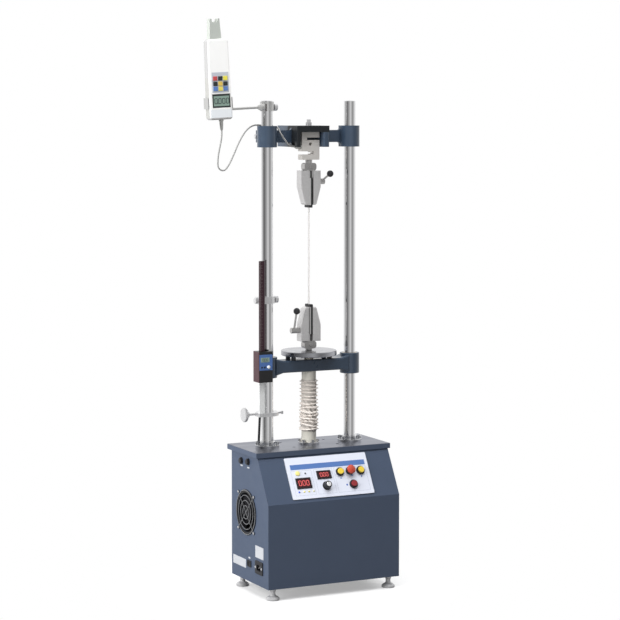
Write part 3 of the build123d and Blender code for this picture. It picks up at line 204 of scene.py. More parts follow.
def remap(tree, value, fromLow, fromHigh, toLow, toHigh):
    node = tree.nodes.new("ShaderNodeMapRange")
    limits = {"From Min": fromLow, "From Max": fromHigh, "To Min": toLow, "To Max": toHigh}
    for key, number in limits.items():
        node.inputs[key].default_value = number
    tree.links.new(value, node.inputs["Value"])
    return node.outputs["Result"]


# One step of arithmetic on sockets or numbers
def calculate(tree, operation, first, second=None):
    node = tree.nodes.new("ShaderNodeMath")
    node.operation = operation
    for socket, value in zip(node.inputs, (first, second)):
        if isinstance(value, (int, float)):
            socket.default_value = value
        elif value is not None:
            tree.links.new(value, socket)
    return node.outputs[0]


# The Mix node's inputs 6 and 7 and its output 2 are its colours, inputs 2 and 3 its numbers
def mixColor(tree, factor, first, second):
    node = tree.nodes.new("ShaderNodeMix")
    node.data_type = "RGBA"
    tree.links.new(factor, node.inputs[0])
    for socket, value in ((node.inputs[6], first), (node.inputs[7], second)):
        if isinstance(value, tuple):
            socket.default_value = (*value, 1)
        else:
            tree.links.new(value, socket)
    return node.outputs[2]


# 1 where the value is over low and under high, either of which may be left open
def between(tree, value, low, high):
    mask = None
    for operation, limit in (("GREATER_THAN", low), ("LESS_THAN", high)):
        if limit is None:
            continue
        test = calculate(tree, operation, value, limit)
        mask = test if mask is None else calculate(tree, "MULTIPLY", mask, test)
    return mask


# 1 where the coordinate lies between the limits given for each axis, 0 elsewhere
def insideMask(tree, vector, x=None, y=None, z=None):
    split = tree.nodes.new("ShaderNodeSeparateXYZ")
    tree.links.new(vector, split.inputs[0])
    mask = None
    for output, limits in zip(split.outputs, (x, y, z)):
        if limits is None:
            continue
        test = between(tree, output, *limits)
        mask = test if mask is None else calculate(tree, "MULTIPLY", mask, test)
    return mask


# Distance from the local origin, with the axes given 0 left out
def distance(tree, vector, keep=(1, 1, 1)):
    product = tree.nodes.new("ShaderNodeVectorMath")
    product.operation = "MULTIPLY"
    product.inputs[1].default_value = keep
    tree.links.new(vector, product.inputs[0])
    length = tree.nodes.new("ShaderNodeVectorMath")
    length.operation = "LENGTH"
    tree.links.new(product.outputs[0], length.inputs[0])
    return length.outputs["Value"]


# What a look has where it doesn't say otherwise
plainLook = {"metallic": 0.0, "vary": 0.08, "glossVary": 0.15, "stretch": (1, 1, 1), "cloudScale": 14,
             "smearScale": 30, "smearRange": (0.3, 0.7), "grainScale": 900, "bump": 0.15, "bumpDepth": 0.0004,
             "specular": 0.5, "coat": 0.0, "coatRoughness": 0.1}
noiseDetail = {"cloud": 4, "smear": 5, "grain": 2}


# Colour varied by soft noise, gloss varied by a second noise, and a fine bump
def surfaceMaterial(name, ownLook):
    look = {**plainLook, **ownLook}
    color, roughness = look["color"], look["roughness"]
    material, tree, shader = newMaterial(name, color, roughness, look["metallic"])
    vector = objectVector(tree, look["stretch"])
    cloud = noiseValue(tree, vector, look["cloudScale"], noiseDetail["cloud"])
    darker = tuple(c * (1 - look["vary"]) for c in color)
    lighter = tuple(min(1, c * (1 + look["vary"])) for c in color)
    baseColor = mixColor(tree, cloud, darker, lighter)
    tree.links.new(baseColor, shader.inputs["Base Color"])
    smear = noiseValue(tree, vector, look["smearScale"], noiseDetail["smear"])
    rough = remap(tree, smear, *look["smearRange"], roughness * (1 - look["glossVary"]),
                  roughness * (1 + look["glossVary"]))
    tree.links.new(rough, shader.inputs["Roughness"])
    grain = noiseValue(tree, vector, look["grainScale"], noiseDetail["grain"])
    bump = tree.nodes.new("ShaderNodeBump")
    bump.inputs["Strength"].default_value = look["bump"]
    bump.inputs["Distance"].default_value = look["bumpDepth"]
    tree.links.new(grain, bump.inputs["Height"])
    tree.links.new(bump.outputs["Normal"], shader.inputs["Normal"])
    shader.inputs["Specular IOR Level"].default_value = look["specular"]
    shader.inputs["Coat Weight"].default_value = look["coat"]
    shader.inputs["Coat Roughness"].default_value = look["coatRoughness"]
    return {"material": material, "tree": tree, "shader": shader, "color": baseColor}


# Lays a second finish over the first where the mask is 1
def layOver(paint, mask, color, metallic=None, roughness=None):
    tree, shader = paint["tree"], paint["shader"]
    paint["color"] = mixColor(tree, mask, paint["color"], color)
    tree.links.new(paint["color"], shader.inputs["Base Color"])
    for key, value in (("Metallic", metallic), ("Roughness", roughness)):
        if value is None:
            continue
        socket, node = shader.inputs[key], tree.nodes.new("ShaderNodeMix")
        tree.links.new(mask, node.inputs[0])
        if socket.is_linked:
            tree.links.new(socket.links[0].from_socket, node.inputs[2])
        else:
            node.inputs[2].default_value = socket.default_value
        node.inputs[3].default_value = value
        tree.links.new(node.outputs[0], socket)


# 1 inside the limits along the axes, or on a line of the given width just inside them, and within the reach,
# the distance from the local origin with only the axes of keep counted
def patchMask(tree, vector, patch):
    limits = [patch.get(axis) for axis in "xyz"]
    mask = insideMask(tree, vector, *limits)
    if "line" in patch:
        inner = [side and (side[0] + patch["line"], side[1] - patch["line"]) for side in limits]
        mask = calculate(tree, "SUBTRACT", mask, insideMask(tree, vector, *inner))
    if "reach" in patch:
        near = between(tree, distance(tree, vector, patch.get("keep", (1, 1, 1))), *patch["reach"])
        mask = near if mask is None else calculate(tree, "MULTIPLY", mask, near)
    return mask


# Lays patches over a finish one after the other, seen from a local frame at place, turned
def layPatches(paint, patches, place=(0, 0, 0), turn=(0, 0, 0)):
    for patch in patches.values():
        vector = objectVector(paint["tree"], place=patch.get("place", place), turn=turn)
        mask = patchMask(paint["tree"], vector, patch)
        layOver(paint, mask, patch["color"], patch.get("metallic"), patch.get("roughness"))


# Gives every material place of a CAD node the same finish
def dress(node, paint):
    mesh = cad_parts[node].data
    if not mesh.materials:
        mesh.materials.append(paint["material"])
    for index in range(len(mesh.materials)):
        mesh.materials[index] = paint["material"]


# The finishes: colour, roughness and what differs from the plain look
looks = {
    "slatePaint": {"color": (0.057, 0.078, 0.124), "roughness": 0.42, "vary": 0.05, "grainScale": 1400,
                   "bump": 0.2, "bumpDepth": 0.0002, "glossVary": 0.1, "specular": 0.4},
    "castPaint": {"color": (0.036, 0.056, 0.088), "roughness": 0.3, "vary": 0.16, "cloudScale": 40,
                  "grainScale": 320, "bump": 0.3, "coat": 0.4, "coatRoughness": 0.08},
    "blackPaintAndPocketShade": {"color": (0.015, 0.017, 0.019), "roughness": 0.38, "vary": 0.15, "grainScale": 700,
                   "bump": 0.2, "bumpDepth": 0.0002, "specular": 0.25},
    "columnChrome": {"color": (0.90, 0.90, 0.91), "roughness": 0.10, "metallic": 1.0, "vary": 0.02,
                     "stretch": (1, 1, 0.05), "grainScale": 300, "bump": 0.004, "glossVary": 0.25},
    "plateChrome": {"color": (0.235, 0.25, 0.305), "roughness": 0.34, "metallic": 1.0, "vary": 0.04,
                    "stretch": (0.15, 1, 1), "grainScale": 700, "bump": 0.04, "bumpDepth": 0.0002},
    "guardWire": {"color": (0.44, 0.45, 0.47), "roughness": 0.35, "metallic": 1.0, "bump": 0.03,
                  "bumpDepth": 0.0002},
    "armSteel": {"color": (0.64, 0.64, 0.63), "roughness": 0.35, "metallic": 0.8, "vary": 0.05,
                 "bump": 0.03, "bumpDepth": 0.0002},
    "knobSilverAndHighlight": {"color": (0.84, 0.84, 0.85), "roughness": 0.35, "metallic": 0.3, "vary": 0.03,
                   "bump": 0.02},
    "platenChrome": {"color": (0.43, 0.435, 0.465), "roughness": 0.24, "metallic": 1.0, "vary": 0.03,
                     "grainScale": 600, "bump": 0.02, "bumpDepth": 0.0002},
    "brightSteel": {"color": (0.80, 0.80, 0.81), "roughness": 0.32, "metallic": 0.8, "vary": 0.05,
                    "grainScale": 500, "bump": 0.02, "bumpDepth": 0.0001, "glossVary": 0.2},
    "footSteel": {"color": (0.62, 0.62, 0.63), "roughness": 0.4, "metallic": 0.5, "vary": 0.05,
                  "bump": 0.05, "bumpDepth": 0.0002},
    "satinSteel": {"color": (0.75, 0.74, 0.74), "roughness": 0.42, "metallic": 0.75, "vary": 0.16,
                   "cloudScale": 260, "smearScale": 180, "grainScale": 500, "bump": 0.12,
                   "bumpDepth": 0.0003},
    "flangeSteel": {"color": (0.74, 0.75, 0.77), "roughness": 0.2, "metallic": 1.0, "vary": 0.04,
                    "grainScale": 500, "bump": 0.02, "bumpDepth": 0.0001},
    "turnedSteel": {"color": (0.56, 0.55, 0.54), "roughness": 0.3, "metallic": 0.9, "stretch": (1, 1, 6),
                    "grainScale": 300, "bump": 0.06, "bumpDepth": 0.0002},
    "leverSteel": {"color": (0.68, 0.67, 0.66), "roughness": 0.35, "metallic": 1.0, "vary": 0.05,
                   "bump": 0.04, "bumpDepth": 0.0002},
    "jawSteel": {"color": (0.62, 0.61, 0.61), "roughness": 0.42, "metallic": 0.8, "vary": 0.1, "bump": 0.06,
                 "bumpDepth": 0.0002},
    "nickel": {"color": (0.72, 0.69, 0.66), "roughness": 0.5, "metallic": 0.5, "vary": 0.04,
               "stretch": (0.15, 1, 1), "bump": 0.05, "bumpDepth": 0.0002},
    "dullMetal": {"color": (0.62, 0.62, 0.60), "roughness": 0.4, "metallic": 1.0, "bump": 0.05,
                  "bumpDepth": 0.0002},
    "bushBrass": {"color": (0.55, 0.42, 0.20), "roughness": 0.3, "metallic": 1.0, "vary": 0.06,
                  "bump": 0.05},
    "seatBrass": {"color": (0.870, 0.814, 0.702), "roughness": 0.4, "vary": 0.05},
    "blackPlastic": {"color": (0.018, 0.018, 0.021), "roughness": 0.35, "vary": 0.1, "grainScale": 1500,
                     "specular": 0.3},
    "gaugePlastic": {"color": (0.830, 0.830, 0.820), "roughness": 0.4, "vary": 0.015, "grainScale": 1800,
                     "bump": 0.08, "bumpDepth": 0.0002},
    "panelPrint": {"color": (0.690, 0.720, 0.818), "roughness": 0.45, "vary": 0.02, "grainScale": 1800,
                   "bump": 0.08, "bumpDepth": 0.0002},
    "labelFilm": {"color": (0.465, 0.480, 0.510), "roughness": 0.35, "vary": 0.02, "grainScale": 1800},
    "greyPlastic": {"color": (0.415, 0.440, 0.410), "roughness": 0.45, "vary": 0.05},
    "faceKeys": {"color": (0.022, 0.027, 0.026), "roughness": 0.4, "grainScale": 1500},
    "creamPlastic": {"color": (0.700, 0.680, 0.610), "roughness": 0.45, "vary": 0.05, "cloudScale": 60},
    "yellowPlastic": {"color": (0.780, 0.570, 0.060), "roughness": 0.28, "vary": 0.04, "coat": 0.3},
    "redPlastic": {"color": (0.247, 0.027, 0.032), "roughness": 0.25, "vary": 0.04, "coat": 0.3},
    "orangePlastic": {"color": (0.450, 0.054, 0.027), "roughness": 0.25, "vary": 0.04, "coat": 0.3},
    "palePlastic": {"color": (0.800, 0.720, 0.260), "roughness": 0.3, "vary": 0.04, "coat": 0.2},
    "cableSkin": {"color": (0.310, 0.310, 0.305), "roughness": 0.45, "vary": 0.06, "grainScale": 1500},
    "beltRubber": {"color": (0.030, 0.030, 0.032), "roughness": 0.6, "vary": 0.1},
    "lampLens": {"color": (0.820, 0.720, 0.220), "roughness": 0.2, "vary": 0.04, "coat": 0.5},
    "bellowsCloth": {"color": (0.790, 0.735, 0.685), "roughness": 0.75, "vary": 0.12, "cloudScale": 70,
                     "grainScale": 1400, "bump": 0.4, "bumpDepth": 0.0005},
    "scaleSkin": {"color": (0.030, 0.011, 0.017), "roughness": 0.35, "vary": 0.1, "grainScale": 1200},
    "sliderSkin": {"color": (0.012, 0.012, 0.013), "roughness": 0.4, "vary": 0.1, "grainScale": 1200},
    "padFilm": {"color": (0.450, 0.480, 0.530), "roughness": 0.4, "vary": 0.03, "grainScale": 1800},
    "windowGlass": {"color": (0.045, 0.006, 0.009), "roughness": 0.12, "vary": 0.05, "coat": 0.5,
                    "bump": 0.01},
    "printBlue": {"color": (0.075, 0.150, 0.450), "roughness": 0.45, "vary": 0.05},
    "screenGreen": {"color": (0.240, 0.330, 0.285), "roughness": 0.3, "vary": 0.04},
    "screenInk": {"color": (0.030, 0.042, 0.039), "roughness": 0.4, "vary": 0.05},
    "whiteButton": {"color": (0.846, 0.858, 0.870), "roughness": 0.3, "vary": 0.03},
}
paints = {name: surfaceMaterial(name, look) for name, look in looks.items()}

# Which nodes of the CAD wear which finish
dressing = {
    "slatePaint": ["cabinet_shell", "rear_cover", "base_pan"],
    "castPaint": ["upper_beam", "crosshead", "screw_bearing"],
    # the cell carrier's black is partly painted shade of the beam's pocket and partly a black finish
    "blackPaintAndPocketShade": ["cell_carrier", "drive_motor"],
    "columnChrome": ["columns"],
    "plateChrome": ["top_plate"],
    "platenChrome": ["platen"],
    "footSteel": ["levelling_feet"],
    "brightSteel": ["beam_fixings", "scale_collar", "travel_stop", "ball_screw", "nut_pulley",
                    "motor_pulley", "stop_wheel", "arm_knob"],
    "guardWire": ["fan_guard"],
    "armSteel": ["gauge_arm"],
    "satinSteel": ["upper_grip_body", "lower_grip_body"],
    "flangeSteel": ["column_flanges"],
    "turnedSteel": ["upper_adapter", "lower_adapter"],
    "leverSteel": ["upper_lever", "lower_lever"],
    "jawSteel": ["upper_jaw", "lower_jaw"],
    "nickel": ["load_cell"],
    "dullMetal": ["cable_glands"],
    "bushBrass": ["crosshead_bushes"],
    "seatBrass": ["platen_fixings"],
    "blackPlastic": ["panel_displays", "fan_housing", "side_connectors", "fan_impeller", "speed_knob",
                     "power_rocker", "button_collars"],
    "sliderSkin": ["scale_slider"],
    "scaleSkin": ["scale_bar"],
    "gaugePlastic": ["gauge_body"],
    "panelPrint": ["control_panel"],
    "greyPlastic": ["gauge_head"],
    "faceKeys": ["gauge_face"],
    "creamPlastic": ["bellows_base", "bellows_top_collar"],
    "yellowPlastic": ["up_button", "down_button"],
    "palePlastic": ["mode_key"],
    "redPlastic": ["stop_button"],
    "orangePlastic": ["emergency_stop"],
    "beltRubber": ["drive_belt", "stop_lead"],
    "lampLens": ["indicator_lamps"],
}
for name, nodes in dressing.items():
    for node in nodes:
        dress(node, paints[name])
print("materials on", sum(len(nodes) for nodes in dressing.values()), "nodes")

# Second finishes on the CAD pieces, each patch laid by its place
# painted shade of the slot between the jaws, laid over the grip bodies and the jaws
jawSlotShade = {"x": (0.0002, 0.0056), "z": (0.7135, 1.2065), "color": (0.03, 0.03, 0.032), "metallic": 0.5,
           "roughness": 0.6}
jawTip = {"color": (0.05, 0.05, 0.052), "metallic": 0.6, "roughness": 0.5}
jawTips = {"lowerTips": {**jawTip, "z": (0.8125, 0.8210)}, "upperTips": {**jawTip, "z": (1.0990, 1.1075)}}
leverBall = {"reach": (None, 0.0101), "color": (0.015, 0.015, 0.017), "metallic": 0.0, "roughness": 0.22}
darkScrew = {"color": (0.018, 0.019, 0.022), "metallic": 0.0, "roughness": 0.4}
baseSteel = {"color": (0.78, 0.78, 0.79), "metallic": 1.0, "roughness": 0.25}
thinFrame = {"y": (0.020, 0.095), "line": 0.0005, "color": (0.255, 0.285, 0.375)}
panelFrame = {"place": (0, cabinetFront, kinkHeight), "turn": (panelTurn, 0, 0)}
gaugeFrame = {"place": gaugeOrigin, "turn": (0, gaugeTurn, 0)}

overlays = {
    "plateChrome": {"patches": {      # slate colour on the sides and underside, under the bright top
        "edge": {"z": (None, 0.4119), "color": (0.057, 0.078, 0.124), "metallic": 0.0, "roughness": 0.4}}},
    "guardWire": {"place": fanCentre, "patches": {      # black flat ring under bright wires, painted corners
        "ring": {"x": (-0.21065, None), "reach": (0.0568, 0.0663), "keep": (0, 1, 1),
                 "color": (0.012, 0.012, 0.013), "metallic": 0.0, "roughness": 0.4},
        "corners": {"reach": (0.0663, None), "keep": (0, 1, 1), "color": (0.045, 0.053, 0.068),
                    "metallic": 0.0, "roughness": 0.4}}},
    "armSteel": {"patches": {      # slit of the clamp collar on the left column
        # painted shade of the slit in the clamp collar
        "slit": {"x": (-0.1455, -0.1422), "y": (None, -0.012), "z": (1.377, 1.399),
                 "color": (0.05, 0.04, 0.04), "metallic": 0.3, "roughness": 0.6}}},
    "leverSteel": {"patches": {      # black balls
        "upperBall": {**leverBall, "place": (0.050, -0.038, 1.198)},
        "lowerBall": {**leverBall, "place": (-0.050, -0.023, 0.803)}}},
    "satinSteel": {"patches": {"slot": {**jawSlotShade, "y": (-0.0157, 0.0157)}, **jawTips}},
    "jawSteel": {"patches": {"slot": {**jawSlotShade, "y": (-0.02, 0.02)}, **jawTips}},
    "seatBrass": {"patches": {      # the standing screws beside the seat
        "leftScrews": {**darkScrew, "x": (None, -0.040)},
        "rightScrews": {**darkScrew, "x": (0.040, None)}}},
    "creamPlastic": {"patches": {      # steel ring round the bellows' base, and its screws
        "ring": {**baseSteel, "z": (None, 0.430), "reach": (0.0218, None), "keep": (1, 1, 0)},
        "foot": {**baseSteel, "z": (None, 0.4192)}}},
    "lampLens": {**panelFrame, "patches": {
        "blueLamp": {"x": (-0.110, -0.102), "y": (None, 0.070), "color": (0.030, 0.090, 0.600)},
        "creamLamp": {"x": (-0.064, -0.056), "y": (None, 0.070), "color": (0.720, 0.700, 0.420)},
        "darkLamp": {"x": (-0.078, -0.070), "y": (0.070, None), "color": (0.045, 0.045, 0.053)}}},
    "panelPrint": {**panelFrame, "patches": {      # frames round the groups, a top band and a small mark
        "leftFrame": {**thinFrame, "x": (-0.118, -0.054)},
        "middleFrame": {**thinFrame, "x": (-0.046, 0.012)},
        "rightFrame": {**thinFrame, "x": (0.018, 0.120)},
        "band": {"x": (-0.117, 0.121), "y": (0.098, 0.1135), "color": (0.088, 0.178, 0.430)},
        "mark": {"x": (0.069, 0.075), "y": (0.0665, 0.0695), "color": (0.053, 0.150, 0.540)},
        "edge": {"z": (None, 0.0027), "color": (0.300, 0.315, 0.345)}}},
    "sliderSkin": {"patches": {
        "side": {"x": (None, -0.1793), "color": (0.053, 0.021, 0.027)},
        "face": {"y": (None, -0.0446), "z": (0.640, 0.685), "color": (0.068, 0.143, 0.360)}}},
    "gaugePlastic": {**gaugeFrame, "patches": {      # grey seam along the left side, darker grey low down
        "seam": {"x": (None, 0.0), "y": (-0.0135, None), "color": (0.375, 0.375, 0.375)},
        "lowSeam": {"x": (None, 0.0), "y": (-0.0135, None), "z": (None, 0.118),
                    "color": (0.360, 0.360, 0.345)},
        "lowFront": {"y": (None, -0.0135), "z": (None, 0.029), "color": (0.720, 0.750, 0.780)},
        "bottom": {"z": (None, 0.0060), "color": (0.405, 0.405, 0.405)}}},
    "faceKeys": {**gaugeFrame, "patches": {      # display glass inside its dark frame
        "glass": {"x": (-0.0215, 0.0255), "z": (0.0385, 0.0665), "color": (0.225, 0.315, 0.270),
                  "roughness": 0.25}}},
}
for name, overlay in overlays.items():
    layPatches(paints[name], **overlay)

# Scale: graduations each millimetre, longer each fifth and tenth, and a bare lower length. A mark is where
# height / pitch has a fraction under the mark's share of the pitch
scaleMarks = {"place": (-0.172, -0.028, 0), "depth": -0.0018, "from": 0.695, "color": (0.240, 0.210, 0.210),
              "metallic": 0.0, "roughness": 0.4,
              "marks": {"small": {"pitch": 0.001, "length": 0.005, "share": 0.25},
                        "fifth": {"pitch": 0.005, "length": 0.008, "share": 0.06},
                        "tenth": {"pitch": 0.010, "length": 0.011, "share": 0.04}},
              "bare": {"z": (None, 0.690), "color": (0.86, 0.87, 0.87), "metallic": 0.3, "roughness": 0.4}}
layPatches(paints["scaleSkin"], {"bare": scaleMarks["bare"]}, scaleMarks["place"])
tree = paints["scaleSkin"]["tree"]
scaleVector = objectVector(tree, place=scaleMarks["place"])
split = tree.nodes.new("ShaderNodeSeparateXYZ")
tree.links.new(scaleVector, split.inputs[0])
for mark in scaleMarks["marks"].values():
    share = calculate(tree, "FRACT", calculate(tree, "DIVIDE", split.outputs["Z"], mark["pitch"]))
    strip = insideMask(tree, scaleVector, (None, mark["length"]), (None, scaleMarks["depth"]),
                       (scaleMarks["from"], None))
    marked = calculate(tree, "MULTIPLY", between(tree, share, None, mark["share"]), strip)
    layOver(paints["scaleSkin"], marked, scaleMarks["color"], scaleMarks["metallic"], scaleMarks["roughness"])
print("second finishes laid")

# Gauge keys: square caps over the round membrane keys, coloured by column and row, on a pad
gaugeKeys = {"columns": (-0.0145, 0.001, 0.0165), "rows": (0.116, 0.101, 0.087),
             "size": (0.0128, 0.0118, 0.0022), "bevel": 0.0006, "tintReach": (0.0075, 0.007),
             "colors": {(0, 0): (0.480, 0.070, 0.070), (2, 0): (0.740, 0.660, 0.090),
                        (1, 1): (0.620, 0.440, 0.090), (0, 2): (0.095, 0.190, 0.450),
                        (1, 2): (0.660, 0.560, 0.110), (2, 2): (0.095, 0.190, 0.450)}}
gaugePad = {"centre": (0.001, 0.1045, 0.0002), "size": (0.051, 0.057, 0.0006), "bevel": 0.0002}
gaugeFigures = {"word": "0.000", "middle": (0.003, 0.0525), "height": 0.0165, "out": 0.0001}
keyPaint = surfaceMaterial("gaugeKeyCaps", looks["faceKeys"])
keyTints = {}
for (column, row), color in gaugeKeys["colors"].items():
    x, z = gaugeKeys["columns"][column], gaugeKeys["rows"][row]
    across, upright = gaugeKeys["tintReach"]
    keyTints[column, row] = {"x": (x - across, x + across), "z": (z - upright, z + upright), "color": color}
layPatches(keyPaint, keyTints, **gaugeFrame)
keyCentres = [(x, z, gaugeKeys["size"][2] / 2) for z in gaugeKeys["rows"] for x in gaugeKeys["columns"]]
addPiece("gaugeKeyCaps", boxes(keyCentres, gaugeKeys["size"]), "gauge", keyPaint, "frame",
         gaugeKeys["bevel"])
addPiece("gaugePad", boxes([gaugePad["centre"]], gaugePad["size"]), "gauge", paints["padFilm"], "frame",
         gaugePad["bevel"])
word = figures(gaugeFigures["word"], gaugeFigures["middle"], gaugeFigures["height"], gaugeFigures["out"])
addPiece("gaugeFigures", word, "gauge", paints["screenInk"], "frame")

# Sunken windows of the two panel displays with plain figures
displays = {
    "displayFigures00": {"middle": (-0.086, 0.0565), "size": (0.0405, 0.0255), "word": "000",
                         "height": 0.0165},
    "displayFigures10": {"middle": (-0.017, 0.077), "size": (0.0385, 0.0185), "word": "0.00",
                         "height": 0.0130},
}
displayDepth = {"glassOut": 0.0051, "glassThickness": 0.0004, "figuresOut": 0.0053}
redFigures = {"color": (0.60, 0.09, 0.09), "roughness": 0.4, "vary": 0.05}
redGlow = {"color": (1.0, 0.20, 0.18, 1), "strength": 0.2}
figurePaint = surfaceMaterial("redFigures", redFigures)
figurePaint["shader"].inputs["Emission Color"].default_value = redGlow["color"]
figurePaint["shader"].inputs["Emission Strength"].default_value = redGlow["strength"]
glass = boxes([(*display["middle"], displayDepth["glassOut"]) for display in displays.values()],
              [(*display["size"], displayDepth["glassThickness"]) for display in displays.values()])
addPiece("displayGlass", glass, "panel", paints["windowGlass"], "frame")
for name, display in displays.items():
    word = figures(display["word"], display["middle"], display["height"], displayDepth["figuresOut"])
    addPiece(name, word, "panel", figurePaint, "frame")

# Plain signs on the panel: arrows for up and down and a square for stop
panelSigns = {"up": (0.035, 0.063), "down": (0.101, 0.063), "stop": (0.049, 0.041), "size": 0.0032,
              "shoulder": -0.7, "stopShare": 0.8, "out": 0.0031}
up, down, stop = (np.array((*panelSigns[key], panelSigns["out"])) for key in ("up", "down", "stop"))
shoulder = panelSigns["shoulder"]
arrow = np.array([(-1, shoulder, 0), (1, shoulder, 0), (0, 1, 0)]) * panelSigns["size"]
square = np.array([(-1, -1, 0), (1, -1, 0), (1, 1, 0), (-1, 1, 0)]) * panelSigns["size"]
signPoints = np.concatenate([arrow + up, arrow * (1, -1, 1) + down, square * panelSigns["stopShare"] + stop])
signFaces = [(0, 1, 2), (5, 4, 3), (6, 7, 8, 9)]      # the turned arrow's corners run the other way
addPiece("panelSigns", (signPoints, signFaces), "panel", paints["printBlue"], "frame")

# Silver cap of the speed knob, its pale colour partly a painted highlight
knobCap = {"place": (-0.016, 0.043, 0.0), "profile": [(0.0068, 0.0190), (0.0068, 0.0197), (0.0062, 0.0200)],
           "around": 32}
addPiece("knobCap", discs([knobCap["place"]], knobCap["profile"], knobCap["around"]), "panel",
         paints["knobSilverAndHighlight"], "knob", smooth=True)
print("panel and gauge pieces made")

# Readout of the scale: screen with plain figures, a white button and two small keys
readout = {"screen": (-0.161, 0.670), "screenOut": 0.0002, "screenSize": (0.027, 0.013, 0.0008),
           "bevel": 0.0003, "word": "0.00", "wordHeight": 0.0085, "wordOut": 0.0006,
           "button": [(-0.150, 0.649, 0)],
           "buttonProfile": [(0.0048, -0.0004), (0.0048, 0.0012), (0.0040, 0.0018)],
           "keys": [(-0.162, 0.649, 0), (-0.171, 0.649, 0)],
           "keyProfile": [(0.0024, -0.0004), (0.0024, 0.001), (0.002, 0.0014)]}
screen = boxes([(*readout["screen"], readout["screenOut"])], readout["screenSize"])
word = figures(readout["word"], readout["screen"], readout["wordHeight"], readout["wordOut"])
addPiece("sliderScreen", screen, "readout", paints["screenGreen"], "crosshead_group",
         readout["bevel"])
addPiece("sliderFigures", word, "readout", paints["screenInk"], "crosshead_group")
addPiece("sliderButton", discs(readout["button"], readout["buttonProfile"]), "readout", paints["whiteButton"],
         "crosshead_group", smooth=True)
addPiece("sliderKeys", discs(readout["keys"], readout["keyProfile"]), "readout", paints["blackPlastic"],
         "crosshead_group", smooth=True)

# Blank labels on the left side: centre towards the front and up, then length and width
sideLabels = {
    "overInlet": {"centre": (0.107, 0.130), "size": (0.054, 0.034)},
    "overSwitch": {"centre": (0.040, 0.103), "size": (0.012, 0.005)},
    "byGuard": {"centre": (-0.028, 0.081), "size": (0.088, 0.025)},
    "guardBack": {"centre": (-0.013, 0.362), "size": (0.014, 0.004)},
    "guardFront": {"centre": (0.033, 0.362), "size": (0.014, 0.004)},
}
labelSheet = {"out": 0.0001, "thickness": 0.0006, "bevel": 0.0001}
labels = boxes([(*label["centre"], labelSheet["out"]) for label in sideLabels.values()],
               [(*label["size"], labelSheet["thickness"]) for label in sideLabels.values()])
addPiece("sideLabels", labels, "leftSide", paints["labelFilm"], "frame", labelSheet["bevel"])

# Contact blades and screws of the mains inlet, and the screws of the fan guard and the rear cover
inlet = {"centre": (0.107, 0.086), "blades": [(-0.0068, -0.0015), (0, 0.0025), (0.0068, -0.0015)],
         "bladeSize": (0.0018, 0.0046, 0.010), "bladeOut": -0.0062, "bevel": 0.0003,
         "screwReach": 0.020, "screwOut": 0.003}
guardScrews = {"centre": (0.020, 0.231), "reach": 0.052, "out": 0.0024}
coverScrews = {"columns": (-0.199, 0.199), "rows": (0.048, 0.216, 0.388), "middleRows": (0.048, 0.388)}
screwHead = [(0.0036, -0.0002), (0.0036, 0.0006), (0.0030, 0.0014), (0.0018, 0.0019)]
steel = paints["brightSteel"]
right, up = inlet["centre"]
blades = boxes([(right + x, up + z, inlet["bladeOut"]) for x, z in inlet["blades"]], inlet["bladeSize"])
addPiece("inletBlades", blades, "leftSide", steel, "frame", inlet["bevel"])
places = [(right + x, up, inlet["screwOut"]) for x in (-inlet["screwReach"], inlet["screwReach"])]
addPiece("inletScrews", discs(places, screwHead), "leftSide", steel, "frame", smooth=True)
right, up = guardScrews["centre"]
corners = (-guardScrews["reach"], guardScrews["reach"])
places = [(right + x, up + z, guardScrews["out"]) for x in corners for z in corners]
addPiece("guardScrews", discs(places, screwHead), "leftSide", steel, "frame", smooth=True)
places = [(x, z, 0) for x in coverScrews["columns"] for z in coverScrews["rows"]]
places += [(0, z, 0) for z in coverScrews["middleRows"]]
addPiece("coverScrews", discs(places, screwHead), "rearCover", steel, "frame", smooth=True)
print("side and back pieces made")

# Sensor cable: the CAD's route as a smooth curve
cable = {"diameter": 0.0045, "length": 0.477, "stepsAlong": 12, "stepsAround": 5}
cableRoute = [
    (-0.284437, -0.022, 1.324803), (-0.283599, -0.022, 1.308825), (-0.2883, -0.020, 1.2815),
    (-0.2919, -0.017, 1.2598), (-0.2931, -0.014, 1.240), (-0.2920, -0.0115, 1.2206),
    (-0.2823, -0.010, 1.211), (-0.2686, -0.008, 1.211), (-0.2590, -0.005, 1.2206),
    (-0.2500, -0.002, 1.2315), (-0.2405, 0.0015, 1.2475), (-0.2295, 0.006, 1.2659),
    (-0.2178, 0.0115, 1.2859), (-0.2040, 0.017, 1.3056), (-0.1872, 0.024, 1.324),
    (-0.1677, 0.031, 1.3356), (-0.1483, 0.037, 1.339), (-0.1280, 0.040, 1.337),
    (-0.1115, 0.034, 1.335), (-0.1010, 0.021, 1.3335), (-0.0965, 0.0055, 1.332),
    (-0.0965, -0.0075, 1.320), (-0.0888, -0.0125, 1.304), (-0.0775, -0.013, 1.290),
    (-0.0690, -0.010, 1.2812), (-0.0590, -0.005, 1.276), (-0.0480, -0.005, 1.276),
]
curve = bpy.data.curves.new("sensorCable", "CURVE")
curve.dimensions = "3D"
spline = curve.splines.new("NURBS")
spline.points.add(len(cableRoute) - 1)
for point, place in zip(spline.points, cableRoute):
    point.co = (*place, 1)
spline.order_u = 3
spline.use_endpoint_u = True
spline.resolution_u = cable["stepsAlong"]
curve.bevel_depth = cable["diameter"] / 2
curve.bevel_resolution = cable["stepsAround"]
curve.use_fill_caps = True
curve.materials.append(paints["cableSkin"]["material"])
sensorCable = bpy.data.objects.new("sensorCable", curve)
bpy.context.collection.objects.link(sensorCable)
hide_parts("sensor_cable")
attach(sensorCable, "frame")
print("cable laid")

